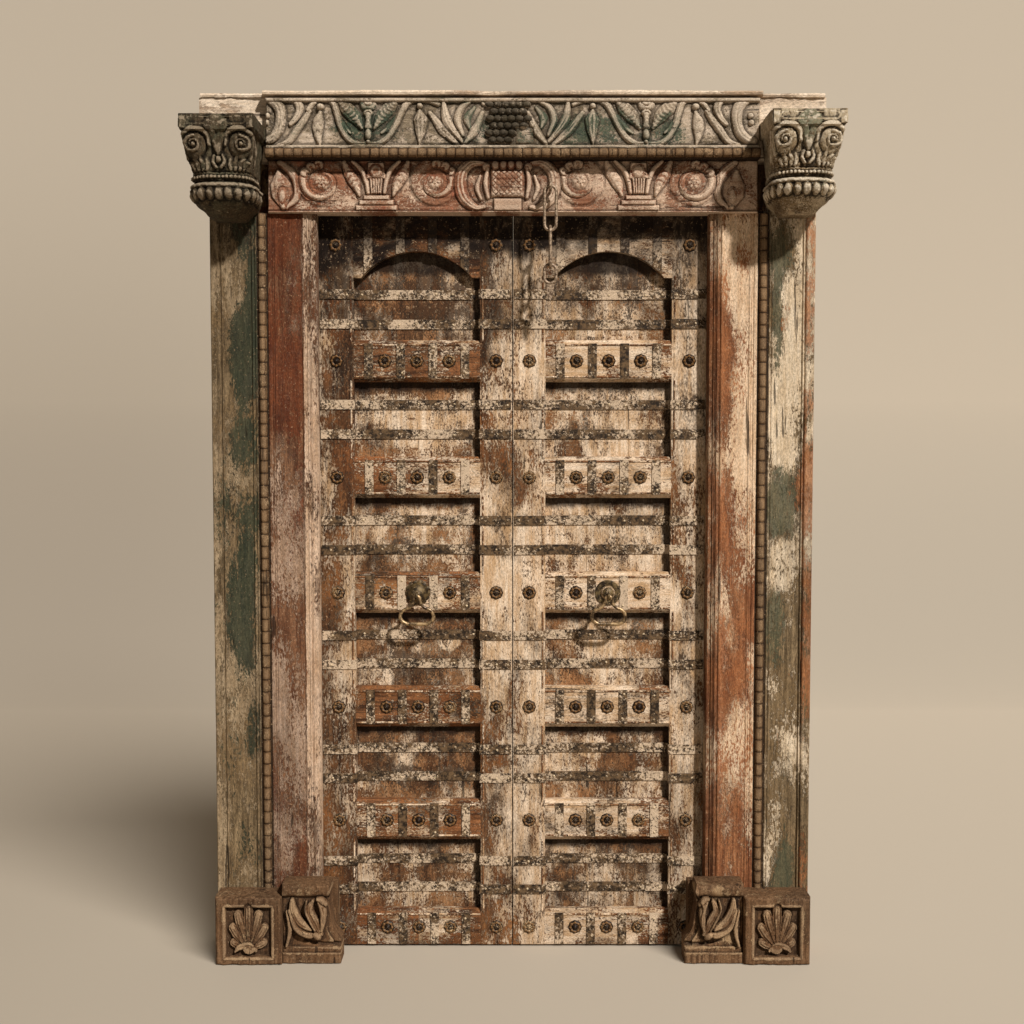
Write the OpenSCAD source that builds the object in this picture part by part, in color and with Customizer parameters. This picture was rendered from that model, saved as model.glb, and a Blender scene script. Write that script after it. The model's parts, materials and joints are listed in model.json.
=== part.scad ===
// Carved double-leaf temple door in its own timber frame, without the wall.
// Millimetres, +Z up. The origin is on the floor, in the middle of the whole
// piece's width and depth. -Y faces the visitor and the leaves open to +Y.
// The frame is pegged up from posts, boards and blocks. The leaves have no
// metal hinges: each hinge stile ends in two round pegs that turn in a head
// beam above and a foot socket below.

/* [Opening] */
// Clear width between the two inner jambs
opening_w = 1020; // [990:10:1050]
// Underside of the lower frieze, over the floor
opening_h = 1955; // [1925:1:1975]
// Depth of the leaves' faces behind the face of the jambs
reveal = 50; // [46:1:60]

/* [Jambs] */
// Width of the stepped moulding beside the opening
mould_w = 37; // [30:1:45]
// Width of the inner carved field
inner_field_w = 89; // [80:1:100]
// Width of the bead string between the two fields
bead_w = 29; // [27:1:34]
// Width of the outer carved field
outer_field_w = 95; // [85:1:105]
// Width of the border along the outer edge
border_w = 26; // [20:1:32]
// Depth of the whole frame behind the face of the jambs
frame_depth = 120; // [112:1:140]

/* [Lintel] */
// Height of the lower frieze
lower_frieze_h = 133; // [128:1:140]
// Height of the bead course between the friezes
bead_course_h = 25; // [24:1:28]
// Height of the upper frieze
upper_frieze_h = 128; // [120:1:136]
// Height of the dark groove under the cap board
groove_h = 8; // [6:1:12]
// Thickness of the cap board
cap_h = 11; // [10:1:16]
// How far the upper frieze stands in front of the jambs
upper_frieze_out = 40; // [34:1:46]

/* [Capitals] */
// How far a capital stands in front of the jambs
capital_out = 190; // [170:5:210]
// Width of a capital
capital_w = 185; // [176:1:190]
// Height of a capital's top over the floor, on the left
capital_top = 2165; // [2155:1:2172]
// Height of a capital from its round foot to its top
capital_h = 236; // [230:1:245]
// How much higher the right capital sits
right_lift = 12; // [0:1:14]

/* [Feet] */
// Height of the shell blocks at the outer corners
shell_block_h = 180; // [170:1:200]
// Height of the leaf blocks beside the opening
leaf_block_h = 210; // [200:1:230]
// How far the shell blocks stand in front of the jambs
shell_block_out = 85; // [78:1:95]
// How far the leaf blocks stand in front of the jambs
leaf_block_out = 72; // [66:1:77]

/* [Leaves] */
// Thickness of a leaf at its stiles
leaf_t = 42; // [40:1:46]
// Depth of the recesses below the faces of the rails
recess_d = 24; // [20:1:26]
// Gap between the two closed leaves
meet_gap = 3; // [3:0.5:6]
// Gap under a leaf
foot_gap = 6; // [4:1:10]
// Width of a hinge stile that shows beside the jamb
hinge_stile_w = 90; // [80:1:95]
// Width of a meeting stile
meeting_stile_w = 86.5; // [80:0.5:92]
// Height of a rail
rail_h = 110; // [100:1:116]
// Distance from one rail to the next
rail_pitch = 307.5; // [302:0.5:309]
// Height of the bottom rail's upper edge over the floor
bottom_rail_top = 102; // [96:1:108]
// Width of the straps that cross the recesses
strap_w = 25; // [20:1:28]
// Thickness of all straps
strap_t = 3; // [2:0.5:3]
// Diameter of a rosette
rosette_d = 38; // [34:1:40]

/* [Ring pulls] */
// Width of a ring pull
ring_w = 97; // [94:1:104]
// Radius of a ring's bar
ring_bar_r = 3.5; // [3:0.25:3.75]
// How far a ring's pivot stands in front of the leaf
ring_out = 38; // [36:1:44]

/* [Chain] */
// Distance of the chain from the middle of the door
chain_x = 96; // [60:1:120]
// Radius of the iron bar that the links are bent from
chain_bar_r = 4; // [3.5:0.25:4]
// Length of the upper link, over its bar
upper_link_l = 120; // [110:1:130]
// Length of the lower link, over its bar
lower_link_l = 112; // [100:1:120]

/* [Hidden] */
$fn = 64;
left = -1;
right = 1;

// Plan of the frame, from the middle outwards
opening_half = opening_w / 2;
mould_out = opening_half + mould_w;
inner_out = mould_out + inner_field_w;
bead_out = inner_out + bead_w;
field_out = bead_out + outer_field_w;
jamb_out = field_out + border_w;
capital_x = jamb_out - 60;
beam_half = jamb_out + 22;
frieze_half = capital_x - capital_w / 2 - 1.5;

// Depths: the face of the jambs, so that the whole depth is centred
face_y = capital_out - (capital_out + frame_depth) / 2;
back_y = face_y + frame_depth;
leaf_y = face_y + reveal;
clear = 4;
shoulder_y = leaf_y - clear;
leaf_lap = 20;

// Heights of the lintel's courses
head_z = opening_h + leaf_lap + clear;
course_z = opening_h + lower_frieze_h;
upper_z = course_z + bead_course_h;
groove_z = upper_z + upper_frieze_h;
cap_z = groove_z + groove_h;

// Friezes
lower_frieze_out = 10;
frieze_fillet_h = 11;
frieze_fillet_out = 6;
bead_course_out = 54;
course_beads = 52;

// Bead strings on the jambs
string_bead_r = 11;
string_bead_pitch = 32;
string_bead_sink = 4;

// Leaf, measured from its pivot towards the middle of the door
pivot_r = leaf_t / 2;
pivot_x = opening_half + 1;
pivot_y = leaf_y + pivot_r;
leaf_w = pivot_x - meet_gap / 2;
leaf_top = opening_h + leaf_lap;
recess_u0 = hinge_stile_w + 1;
recess_u1 = leaf_w - meeting_stile_w + meet_gap / 2;
recess_w = recess_u1 - recess_u0;
recess_mid = (recess_u0 + recess_u1) / 2;
rosette_pitch = recess_w * 0.2545;
rail_bevel = 9;
board_gap = 0.6;
stile_rosettes = [recess_u0 / 2, (recess_u1 + leaf_w) / 2];
rail_rosettes = [for (i = [-1:1]) recess_mid + i * rosette_pitch];
upright_u = [for (i = [-1.5:1:1.5]) recess_mid + i * rosette_pitch];
upright_w = 22.5;
RAILS = 5;
first_rail_z = opening_h - 378;
rail_mid_z = [for (i = [0:RAILS - 1]) first_rail_z - i * rail_pitch];
bottom_mid_z = (foot_gap + bottom_rail_top) / 2;
top_rosette_z = first_rail_z + 303;

// The arch over the top recess
spring_z = opening_h - 160;
arch_half = 146;
arch_rise = 69;
arch_r = (pow(arch_half, 2) + pow(arch_rise, 2)) / (2 * arch_rise);

// Middles of the recesses, from the top one down, and the two straps on each
strap_spread = 39;
recess_edges = concat([spring_z + rail_h / 2], rail_mid_z, [bottom_rail_top - rail_h / 2]);
recess_mid_z = [for (i = [0:RAILS]) (recess_edges[i] + recess_edges[i + 1]) / 2];
cross_z = [for (z = recess_mid_z) for (s = [-1, 1]) z + s * strap_spread];

// Pivot pegs and their sockets
peg_r = 16;
peg_clear = 0.5;
peg_up = 54;
socket_r = 32;
socket_h = 30;
socket_floor = 3;

// Ring pulls
ring_rail = 2;
ring_z = rail_mid_z[ring_rail] - 4;
ring_lobe_r = 22;
ring_lobe_x = ring_w / 2 - ring_lobe_r - ring_bar_r;
ring_turn = 75;
ring_neck = 8;
ring_sweep_r = (ring_lobe_x + ring_lobe_r * cos(ring_turn) - ring_neck) / (1 - cos(ring_turn));
ring_shoulder = (ring_lobe_r + ring_sweep_r) * sin(ring_turn);
ring_foot_r = 4.5;
ring_sweep_x = ring_neck + ring_sweep_r;
ring_line = concat(
  arc_points([0, ring_shoulder], ring_neck, 0, 180, 8),
  arc_points([-ring_sweep_x, ring_shoulder], ring_sweep_r, 0, -ring_turn, 6),
  arc_points([-ring_lobe_x, 0], ring_lobe_r, 180 - ring_turn, 270, 10),
  arc_points([ring_lobe_x, 0], ring_lobe_r, 270, 360 + ring_turn, 10),
  arc_points([ring_sweep_x, ring_shoulder], ring_sweep_r, 180 + ring_turn, 180, 6)
);
eye_bar_r = 3;
eye_hole_r = ring_bar_r + 1.5;
plate_r = 34;
plate_t = 3;

// Chain: every link hangs from the inner side of the one above
chain_y = face_y - lower_frieze_out - 34;
link_w = 38;
link_end_r = link_w / 2 - chain_bar_r;
staple_eye_r = 7 + chain_bar_r;
staple_leg = 30;
link_play = 0.5;
upper_link_z = opening_h + 62;
lower_link_z = upper_link_z - upper_link_l + 4 * chain_bar_r + link_play;
hasp_z = lower_link_z - lower_link_l + 4 * chain_bar_r + link_play;
hasp_eye_l = 56;
hasp_tip_l = 42;

// Colours
OLD_WOOD = [0.55, 0.44, 0.35];
PALE_WOOD = [0.80, 0.72, 0.60];
GREEN_PAINT = [0.24, 0.31, 0.26];
RED_PAINT = [0.52, 0.30, 0.22];
CREAM_PAINT = [0.78, 0.68, 0.52];
LEAF_WOOD = [0.50, 0.34, 0.22];
IRON = [0.24, 0.21, 0.19];
BRASS = [0.52, 0.40, 0.22];

// ---- helpers ----

// A box between two corners
module block(low, high) {
  translate(low) cube(high - low);
}

// An outline in (y, z) carried along +X
module along_x(length) {
  rotate([90, 0, 90]) linear_extrude(length) children();
}

// An outline in (x, z) given depth towards the visitor
module facing(depth) {
  rotate([90, 0, 0]) linear_extrude(depth) children();
}

// Right-hand pieces are drawn as they stand, left-hand ones are mirrored
module on_side(side) {
  if (side == left) mirror([1, 0, 0]) children();
  else children();
}

// Puts what is drawn from the pivot (x), the face (y) and the floor (z) into a leaf
module in_leaf(side) {
  on_side(side) translate([pivot_x, leaf_y, 0]) mirror([1, 0, 0]) children();
}

// ---- lintel ----

// Full-length beam that carries the friezes; its plain ends show over the capitals
module lintel_beam() {
  color(PALE_WOOD) block([-beam_half, face_y, course_z], [beam_half, back_y, cap_z]);
}

module cap_board() {
  color(PALE_WOOD)
    block([-beam_half + 4, face_y - upper_frieze_out, cap_z], [beam_half - 4, back_y, cap_z + cap_h]);
}

// A frieze board with a raised fillet along its top and bottom
module frieze_board(z0, height, out, back) {
  along_x(2 * frieze_half) {
    y0 = face_y - out;
    z1 = z0 + height;
    polygon([
      [back, z0], [y0 - frieze_fillet_out, z0], [y0 - frieze_fillet_out, z0 + frieze_fillet_h],
      [y0, z0 + frieze_fillet_h], [y0, z1 - frieze_fillet_h],
      [y0 - frieze_fillet_out, z1 - frieze_fillet_h], [y0 - frieze_fillet_out, z1], [back, z1]
    ]);
  }
}

// A round boss with a ring round it, for the middle of a frieze
module frieze_boss(radius, depth) {
  facing(depth) circle(radius);
  facing(depth / 2) circle(radius + 8);
}

module upper_frieze() {
  out = upper_frieze_out - frieze_fillet_out;
  color(GREEN_PAINT) union() {
    translate([-frieze_half, 0, 0]) frieze_board(upper_z, upper_frieze_h, out, face_y);
    translate([0, face_y - out, upper_z + upper_frieze_h / 2]) frieze_boss(38, frieze_fillet_out);
  }
}

// Half-round blocks side by side along the joint between the friezes
module bead_course() {
  pitch = 2 * frieze_half / course_beads;
  bead_r = 10;
  bead_y = face_y - bead_course_out + bead_r;
  color(PALE_WOOD) union() {
    block([-frieze_half, bead_y, course_z], [frieze_half, face_y, upper_z]);
    for (i = [0:course_beads - 1])
      translate([-frieze_half + (i + 0.06) * pitch, bead_y, course_z + bead_course_h / 2])
        rotate([0, 90, 0]) cylinder(r = bead_r, h = 0.88 * pitch, $fn = 24);
  }
}

module lower_frieze() {
  out = lower_frieze_out;
  color(RED_PAINT) difference() {
    union() {
      translate([-frieze_half, 0, 0]) frieze_board(opening_h, lower_frieze_h, out, shoulder_y);
      translate([0, face_y - out, opening_h + lower_frieze_h * 0.55]) frieze_boss(34, frieze_fillet_out);
    }
    staple_legs();
  }
}

// Beam behind the lower frieze that the leaves' top pegs turn in
module head_beam() {
  color(OLD_WOOD) difference() {
    block([-bead_out, shoulder_y, head_z], [bead_out, back_y, course_z]);
    for (side = [left, right])
      translate([side * pivot_x, pivot_y, head_z - 1])
        cylinder(r = peg_r + peg_clear, h = peg_up + 4);
  }
}

// ---- jambs ----

module outer_jamb(side) {
  groove = 3;
  color(GREEN_PAINT) on_side(side)
    linear_extrude(course_z) polygon([
      [bead_out, face_y], [field_out, face_y], [field_out, face_y + groove],
      [field_out + groove, face_y + groove], [field_out + groove, face_y],
      [jamb_out - 2 * groove, face_y], [jamb_out, face_y + 2 * groove],
      [jamb_out, back_y], [bead_out, back_y]
    ]);
}

// Half-round strip cut into short beads, in the joint between the two fields
module bead_string(side) {
  count = floor((opening_h - shell_block_h) / string_bead_pitch);
  bead_h = 0.9 * string_bead_pitch;
  bead_x = (inner_out + bead_out) / 2;
  color(CREAM_PAINT) on_side(side) union() {
    block([inner_out, face_y, 0], [bead_out, shoulder_y, opening_h]);
    for (i = [0:count - 1])
      translate([bead_x, face_y + string_bead_sink, shell_block_h + (i + 0.1) * string_bead_pitch])
        cylinder(r = string_bead_r, h = bead_h, $fn = 24);
  }
}

// Board with a stepped moulding towards the opening, on a post that stops the leaf
module inner_jamb(side) {
  post_in = pivot_x + pivot_r + clear;
  step = mould_w / 6;
  color(RED_PAINT) on_side(side) union() {
    linear_extrude(opening_h) polygon([
      [opening_half, shoulder_y], [opening_half, face_y + 16], [opening_half + 2 * step, face_y + 16],
      [opening_half + 2 * step, face_y + 9], [opening_half + 4 * step, face_y + 9],
      [opening_half + 4 * step, face_y + 5], [mould_out, face_y + 5], [mould_out, face_y],
      [inner_out, face_y], [inner_out, shoulder_y]
    ]);
    block([post_in, shoulder_y, 0], [bead_out, back_y, head_z]);
  }
}

// ---- capitals ----

// Bracket capital: slab, pair of volutes, tapering neck, ring of lobes, round foot
module capital_shape() {
  half = capital_w / 2;
  slab_h = 38;
  foot_r = 72;
  foot_y = -capital_out + foot_r + 12;
  lobe_z = 62;
  lobe_r = 20;
  block([-half, -capital_out, capital_h - slab_h], [half, 0, capital_h]);
  block([-half + 14, -capital_out + 12, 112], [half - 14, 0, capital_h - slab_h]);
  for (s = [left, right])
    translate([s * 47, 0, capital_h - slab_h - 36]) facing(capital_out - 6) circle(36);
  translate([0, foot_y, 84]) cylinder(r = foot_r - 6, h = 40);
  block([-foot_r + 6, foot_y, 30], [foot_r - 6, 0, 124]);
  translate([0, foot_y, lobe_z]) cylinder(r = foot_r - 10, h = 24);
  for (a = [-90:22.5:90])
    translate([0, foot_y, lobe_z]) rotate([0, 0, a]) translate([0, 14 - foot_r, 0]) sphere(lobe_r, $fn = 24);
  translate([0, foot_y, 12]) cylinder(r = foot_r - 22, h = 52);
  translate([0, foot_y, 0]) cylinder(r = foot_r - 34, h = 14);
}

module capital(side, lift) {
  color(GREEN_PAINT)
    translate([side * capital_x, face_y, capital_top - capital_h + lift]) capital_shape();
}

// ---- feet ----

// Outline of a fan of petals that spring from one point: a sector with a scalloped edge
module fan_outline(petals, spread, length, scallop) {
  steps = 8 * petals;
  polygon(concat([[0, -6]], [
    for (i = [0:steps])
      let (t = i / steps, a = (t - 0.5) * spread)
      (length - scallop + scallop * sqrt(abs(sin(180 * petals * t)))) * [sin(a), cos(a)]
  ]));
}

// Block with a sunk square panel that holds a fan of petals
module shell_block(side) {
  x0 = bead_out - 62;
  x1 = jamb_out - 10;
  mid = (x0 + x1) / 2;
  rim = 30;
  sink = 14;
  front = face_y - shell_block_out;
  fan = 58;
  color(OLD_WOOD) on_side(side) union() {
    difference() {
      block([x0, front, 0], [x1, face_y, shell_block_h]);
      block([x0 + rim, front - 1, rim], [x1 - rim, front + sink, shell_block_h - rim]);
    }
    translate([mid, front + sink, rim + 16]) {
      facing(sink - 6) fan_outline(7, 150, fan, 7);
      facing(sink - 3) fan_outline(5, 120, fan / 2, 4);
    }
  }
}

// Block with a curled leaf that stands partly in front of the door leaf
module leaf_block(side) {
  x0 = opening_half - 60;
  x1 = bead_out - 62;
  front = face_y - leaf_block_out;
  back = shoulder_y - 10;
  torus_r = 14;
  curl_r = 40;
  ledge_z = 26;
  color(OLD_WOOD) on_side(side) union() {
    block([x0 + 16, front + 10, ledge_z], [x1, face_y, leaf_block_h - torus_r]);
    block([x0 + 16, face_y - 1, ledge_z], [opening_half - 1, back, leaf_block_h - torus_r]);
    block([x0, front, 0], [x1, face_y, ledge_z]);
    translate([x0, front + torus_r, leaf_block_h - torus_r])
      rotate([0, 90, 0]) cylinder(r = torus_r, h = x1 - x0);
    block([x0, front + torus_r, leaf_block_h - 2 * torus_r], [x1, face_y, leaf_block_h]);
    translate([(x0 + x1) / 2 - 6, front + 10, leaf_block_h / 2 + 10]) {
      facing(10) circle(curl_r);
      facing(14) translate([10, 12]) circle(curl_r / 2);
    }
  }
}

// Half-round block on the floor that a foot peg turns in
module foot_socket(side) {
  color(OLD_WOOD) on_side(side) difference() {
    intersection() {
      translate([pivot_x, pivot_y, 0]) cylinder(r = socket_r, h = socket_h);
      union() {
        block([pivot_x - socket_r, pivot_y - socket_r, 0], [opening_half - 1, pivot_y + socket_r, socket_h]);
        block([opening_half - 2, shoulder_y, 0], [pivot_x + pivot_r + clear, pivot_y + socket_r, socket_h]);
      }
    }
    translate([pivot_x, pivot_y, socket_floor]) cylinder(r = peg_r + peg_clear, h = socket_h);
  }
}

// ---- leaves ----

// Full-height stile with a half-round edge round the pivot, and its two pegs
module hinge_stile() {
  difference() {
    union() {
      translate([0, pivot_r, foot_gap]) cylinder(r = pivot_r, h = leaf_top - foot_gap);
      block([0, 0, foot_gap], [recess_u0, leaf_t, leaf_top]);
    }
    translate([0, pivot_r, 0]) cylinder(r = socket_r + 2, h = socket_h + 2);
  }
  translate([0, pivot_r, leaf_top - 1]) cylinder(r = peg_r, h = peg_up + 1);
  translate([0, pivot_r, socket_floor + 1]) cylinder(r = peg_r, h = socket_h);
}

module meeting_stile() {
  block([recess_u1, 0, foot_gap], [leaf_w, leaf_t, leaf_top]);
}

// A rail planted on the boards, bevelled down into the recesses beside it
module rail_bar(z0, z1, bevel_low, bevel_high) {
  translate([recess_u0, 0, 0]) along_x(recess_w) polygon([
    [recess_d, z0], [bevel_low, z0], [0, z0 + bevel_low],
    [0, z1 - bevel_high], [bevel_high, z1], [recess_d, z1]
  ]);
}

module rail(number) {
  z = rail_mid_z[number - 1];
  rail_bar(z - rail_h / 2, z + rail_h / 2, rail_bevel, rail_bevel);
}

module bottom_rail() {
  rail_bar(foot_gap, bottom_rail_top, 0.5, rail_bevel);
}

// The arch: a flat round head between two short level shoulders
module arch_outline() {
  translate([recess_mid, spring_z]) intersection() {
    translate([0, arch_rise - arch_r]) circle(arch_r, $fn = 128);
    translate([-recess_w, -1]) square([2 * recess_w, arch_rise + 2]);
  }
}

module top_rail() {
  translate([0, recess_d, 0]) facing(recess_d) difference() {
    translate([recess_u0, spring_z]) square([recess_w, leaf_top - spring_z]);
    arch_outline();
  }
}

// Three upright boards side by side close the leaf behind the rails
module board(number) {
  board_w = recess_w / 3;
  x0 = recess_u0 + (number - 1) * board_w;
  x1 = x0 + board_w - (number < 3 ? board_gap : 0);
  block([x0, recess_d, foot_gap], [x1, leaf_t, leaf_top]);
}

// Iron straps nailed over both stiles, down the reveals and across the boards
module cross_straps() {
  ends = 3;
  for (z = cross_z)
    translate([0, 0, z - strap_w / 2]) linear_extrude(strap_w) polygon([
      [ends, 0], [ends, -strap_t], [recess_u0 + strap_t, -strap_t],
      [recess_u0 + strap_t, recess_d - strap_t], [recess_u1 - strap_t, recess_d - strap_t],
      [recess_u1 - strap_t, -strap_t], [leaf_w - ends, -strap_t], [leaf_w - ends, 0],
      [recess_u1, 0], [recess_u1, recess_d], [recess_u0, recess_d], [recess_u0, 0]
    ]);
}

// Upright straps that frame the squares on every rail, parted round the plate of the ring
module upright_straps() {
  difference() {
    for (u = upright_u) {
      for (z = rail_mid_z)
        block([u - upright_w / 2, -strap_t, z - rail_h / 2 + rail_bevel],
          [u + upright_w / 2, 0, z + rail_h / 2 - rail_bevel]);
      block([u - upright_w / 2, -strap_t, foot_gap + 2],
        [u + upright_w / 2, 0, bottom_rail_top - rail_bevel]);
      facing(strap_t) difference() {
        translate([u - upright_w / 2, spring_z + 4]) square([upright_w, leaf_top - spring_z - 4]);
        arch_outline();
      }
    }
    translate([rail_rosettes[1], 1, rail_mid_z[ring_rail]]) facing(strap_t + 2) circle(plate_r + 0.5);
  }
}

// Round cast rosette: a thin rim, a raised ring of petals and a dome in the middle
module rosette() {
  rotate([90, 0, 0]) rotate_extrude() polygon([
    [0, 0], [rosette_d / 2, 0], [rosette_d / 2, 3], [rosette_d / 2 - 4, 6],
    [rosette_d / 2 - 8, 4.5], [6, 9], [3, 10], [0, 10]
  ]);
}

module rosettes() {
  for (z = concat(rail_mid_z, [bottom_mid_z])) {
    for (u = stile_rosettes) translate([u, 0, z]) rosette();
    for (u = rail_rosettes)
      if (z != rail_mid_z[ring_rail] || u != rail_rosettes[1]) translate([u, 0, z]) rosette();
  }
  for (u = stile_rosettes) translate([u, 0, top_rosette_z]) rosette();
}

// ---- ring pulls ----

// Round plate; the left one has a petalled edge
module ring_plate(side) {
  petals = 14;
  notch = side == left ? 3 : 0;
  translate([rail_rosettes[1], 0, rail_mid_z[ring_rail]]) facing(plate_t)
    polygon([
      for (i = [0:6 * petals - 1])
        let (a = i * 60 / petals)
        (plate_r - notch + notch * abs(sin(petals * a / 2))) * [cos(a), sin(a)]
    ]);
}

// Dome on the plate with the eye that the ring hangs in
module ring_boss(side) {
  dome_r = side == left ? 28 : 19;
  dome_h = side == left ? 22 : 15;
  eye_z = ring_z - rail_mid_z[ring_rail];
  sphere_r = (pow(dome_r, 2) + pow(dome_h, 2)) / (2 * dome_h);
  eye_r = eye_hole_r + eye_bar_r;
  translate([rail_rosettes[1], -plate_t, rail_mid_z[ring_rail]]) union() {
    intersection() {
      translate([0, sphere_r - dome_h, 0]) sphere(sphere_r);
      block([-2 * dome_r, -2 * dome_h, -2 * dome_r], [2 * dome_r, 0, 2 * dome_r]);
    }
    difference() {
      translate([0, 0, eye_z]) facing(ring_out - plate_t - eye_hole_r) circle(5);
      translate([-20, plate_t - ring_out, eye_z])
        rotate([0, 90, 0]) cylinder(r = eye_r, h = 40);
    }
    translate([0, plate_t - ring_out, eye_z])
      rotate([0, 90, 0]) rotate_extrude() translate([eye_r, 0]) circle(eye_bar_r);
  }
}

// Points of an arc in the XZ plane, without its last one
function arc_points(mid, radius, from, to, count) = [
  for (i = [0:count - 1])
    let (a = from + (to - from) * i / count) mid + radius * [cos(a), sin(a)]
];

// A round bar along a closed line in the XZ plane, with its own radius at each point
module closed_bar(line, radii) {
  sides = 12;
  count = len(line);
  points = [
    for (i = [0:count - 1])
      let (ahead = line[(i + 1) % count], behind = line[(i + count - 1) % count])
      let (along = (ahead - behind) / norm(ahead - behind), out = [along[1], -along[0]])
      for (k = [0:sides - 1])
        let (a = k * 360 / sides, p = line[i] + radii[i] * cos(a) * out)
        [p[0], radii[i] * sin(a), p[1]]
  ];
  faces = [
    for (i = [0:count - 1]) for (k = [0:sides - 1])
      let (here = i * sides, next = ((i + 1) % count) * sides, m = (k + 1) % sides)
      for (tri = [[here + k, next + k, next + m], [here + k, next + m, here + m]]) tri
  ];
  polyhedron(points, faces);
}

// An arc of round bar in the plane of the ring
module bar_arc(radius, bar, from, turn) {
  rotate([90, 0, 0]) rotate([0, 0, from])
    rotate_extrude(angle = turn) translate([radius, 0]) circle(bar);
}

// Onion-shaped ring: a bow in the eye, two hollow shoulders, two lobes and a thick foot
module ring() {
  translate([rail_rosettes[1], -ring_out, ring_z - ring_neck - ring_shoulder])
    closed_bar(ring_line, [for (p = ring_line) p[1] < -ring_lobe_r / 2 ? ring_foot_r : ring_bar_r]);
}

// ---- chain ----

module staple_legs() {
  for (s = [-1, 1])
    translate([chain_x, face_y - lower_frieze_out - frieze_fillet_out - 1, upper_link_z + s * staple_eye_r])
      rotate([-90, 0, 0]) cylinder(r = chain_bar_r, h = staple_leg + frieze_fillet_out + 1);
}

// Bent staple driven into the lower frieze
module chain_staple() {
  bow_y = chain_y - 2;
  color(IRON) union() {
    for (s = [-1, 1])
      translate([chain_x, bow_y, upper_link_z + s * staple_eye_r])
        rotate([-90, 0, 0])
          cylinder(r = chain_bar_r, h = face_y - lower_frieze_out + staple_leg - bow_y - 1);
    translate([chain_x, bow_y, upper_link_z]) rotate([0, 90, 0]) rotate([0, 0, 180])
      rotate_extrude(angle = 180) translate([staple_eye_r, 0]) circle(chain_bar_r);
  }
}

// A long link in the XZ plane that hangs from the origin by its top bar
module link_loop(length) {
  straight = length - 2 * chain_bar_r - 2 * link_end_r;
  translate([0, 0, -link_end_r]) bar_arc(link_end_r, chain_bar_r, 0, 180);
  translate([0, 0, -link_end_r - straight]) bar_arc(link_end_r, chain_bar_r, 180, 180);
  for (s = [-1, 1])
    translate([s * link_end_r, 0, -link_end_r - straight]) cylinder(r = chain_bar_r, h = straight);
}

module chain_upper_link() {
  color(IRON) translate([chain_x, chain_y, upper_link_z]) link_loop(upper_link_l);
}

module chain_lower_link() {
  color(IRON) translate([chain_x, chain_y, lower_link_z]) rotate([0, 0, 90]) link_loop(lower_link_l);
}

// Last link, drawn out to a flat pointed tongue
module chain_hasp() {
  root_z = chain_bar_r - hasp_eye_l;
  color(IRON) translate([chain_x, chain_y, hasp_z]) union() {
    link_loop(hasp_eye_l);
    translate([0, chain_bar_r / 2, root_z]) facing(chain_bar_r) polygon([
      [-10, 4], [10, 4], [8, -hasp_tip_l * 0.55], [0, -hasp_tip_l], [-8, -hasp_tip_l * 0.55]
    ]);
  }
}

// ---- drawing ----

lintel_beam();
cap_board();
upper_frieze();
bead_course();
lower_frieze();
head_beam();
outer_jamb(left);  // left_outer_jamb
outer_jamb(right);  // right_outer_jamb
bead_string(left);  // left_bead_string
bead_string(right);  // right_bead_string
inner_jamb(left);  // left_inner_jamb
inner_jamb(right);  // right_inner_jamb
capital(left, 0);  // left_capital
capital(right, right_lift);  // right_capital
shell_block(left);  // left_shell_block
shell_block(right);  // right_shell_block
leaf_block(left);  // left_leaf_block
leaf_block(right);  // right_leaf_block
foot_socket(left);  // left_foot_socket
foot_socket(right);  // right_foot_socket
chain_staple();
chain_upper_link();
chain_lower_link();
chain_hasp();
color(LEAF_WOOD) in_leaf(left) hinge_stile();  // left_hinge_stile
color(CREAM_PAINT) in_leaf(left) meeting_stile();  // left_meeting_stile
color(LEAF_WOOD) in_leaf(left) top_rail();  // left_top_rail
color(LEAF_WOOD) in_leaf(left) rail(1);  // left_rail_1
color(LEAF_WOOD) in_leaf(left) rail(2);  // left_rail_2
color(LEAF_WOOD) in_leaf(left) rail(3);  // left_rail_3
color(LEAF_WOOD) in_leaf(left) rail(4);  // left_rail_4
color(LEAF_WOOD) in_leaf(left) rail(5);  // left_rail_5
color(LEAF_WOOD) in_leaf(left) bottom_rail();  // left_bottom_rail
color(CREAM_PAINT) in_leaf(left) board(1);  // left_board_1
color(CREAM_PAINT) in_leaf(left) board(2);  // left_board_2
color(CREAM_PAINT) in_leaf(left) board(3);  // left_board_3
color(IRON) in_leaf(left) cross_straps();  // left_cross_straps
color(IRON) in_leaf(left) upright_straps();  // left_upright_straps
color(IRON) in_leaf(left) rosettes();  // left_rosettes
color(BRASS) in_leaf(left) ring_plate(left);  // left_ring_plate
color(BRASS) in_leaf(left) ring_boss(left);  // left_ring_boss
color(BRASS) in_leaf(left) ring();  // left_ring
color(LEAF_WOOD) in_leaf(right) hinge_stile();  // right_hinge_stile
color(CREAM_PAINT) in_leaf(right) meeting_stile();  // right_meeting_stile
color(LEAF_WOOD) in_leaf(right) top_rail();  // right_top_rail
color(LEAF_WOOD) in_leaf(right) rail(1);  // right_rail_1
color(LEAF_WOOD) in_leaf(right) rail(2);  // right_rail_2
color(LEAF_WOOD) in_leaf(right) rail(3);  // right_rail_3
color(LEAF_WOOD) in_leaf(right) rail(4);  // right_rail_4
color(LEAF_WOOD) in_leaf(right) rail(5);  // right_rail_5
color(LEAF_WOOD) in_leaf(right) bottom_rail();  // right_bottom_rail
color(CREAM_PAINT) in_leaf(right) board(1);  // right_board_1
color(CREAM_PAINT) in_leaf(right) board(2);  // right_board_2
color(CREAM_PAINT) in_leaf(right) board(3);  // right_board_3
color(IRON) in_leaf(right) cross_straps();  // right_cross_straps
color(IRON) in_leaf(right) upright_straps();  // right_upright_straps
color(IRON) in_leaf(right) rosettes();  // right_rosettes
color(BRASS) in_leaf(right) ring_plate(right);  // right_ring_plate
color(BRASS) in_leaf(right) ring_boss(right);  // right_ring_boss
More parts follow.
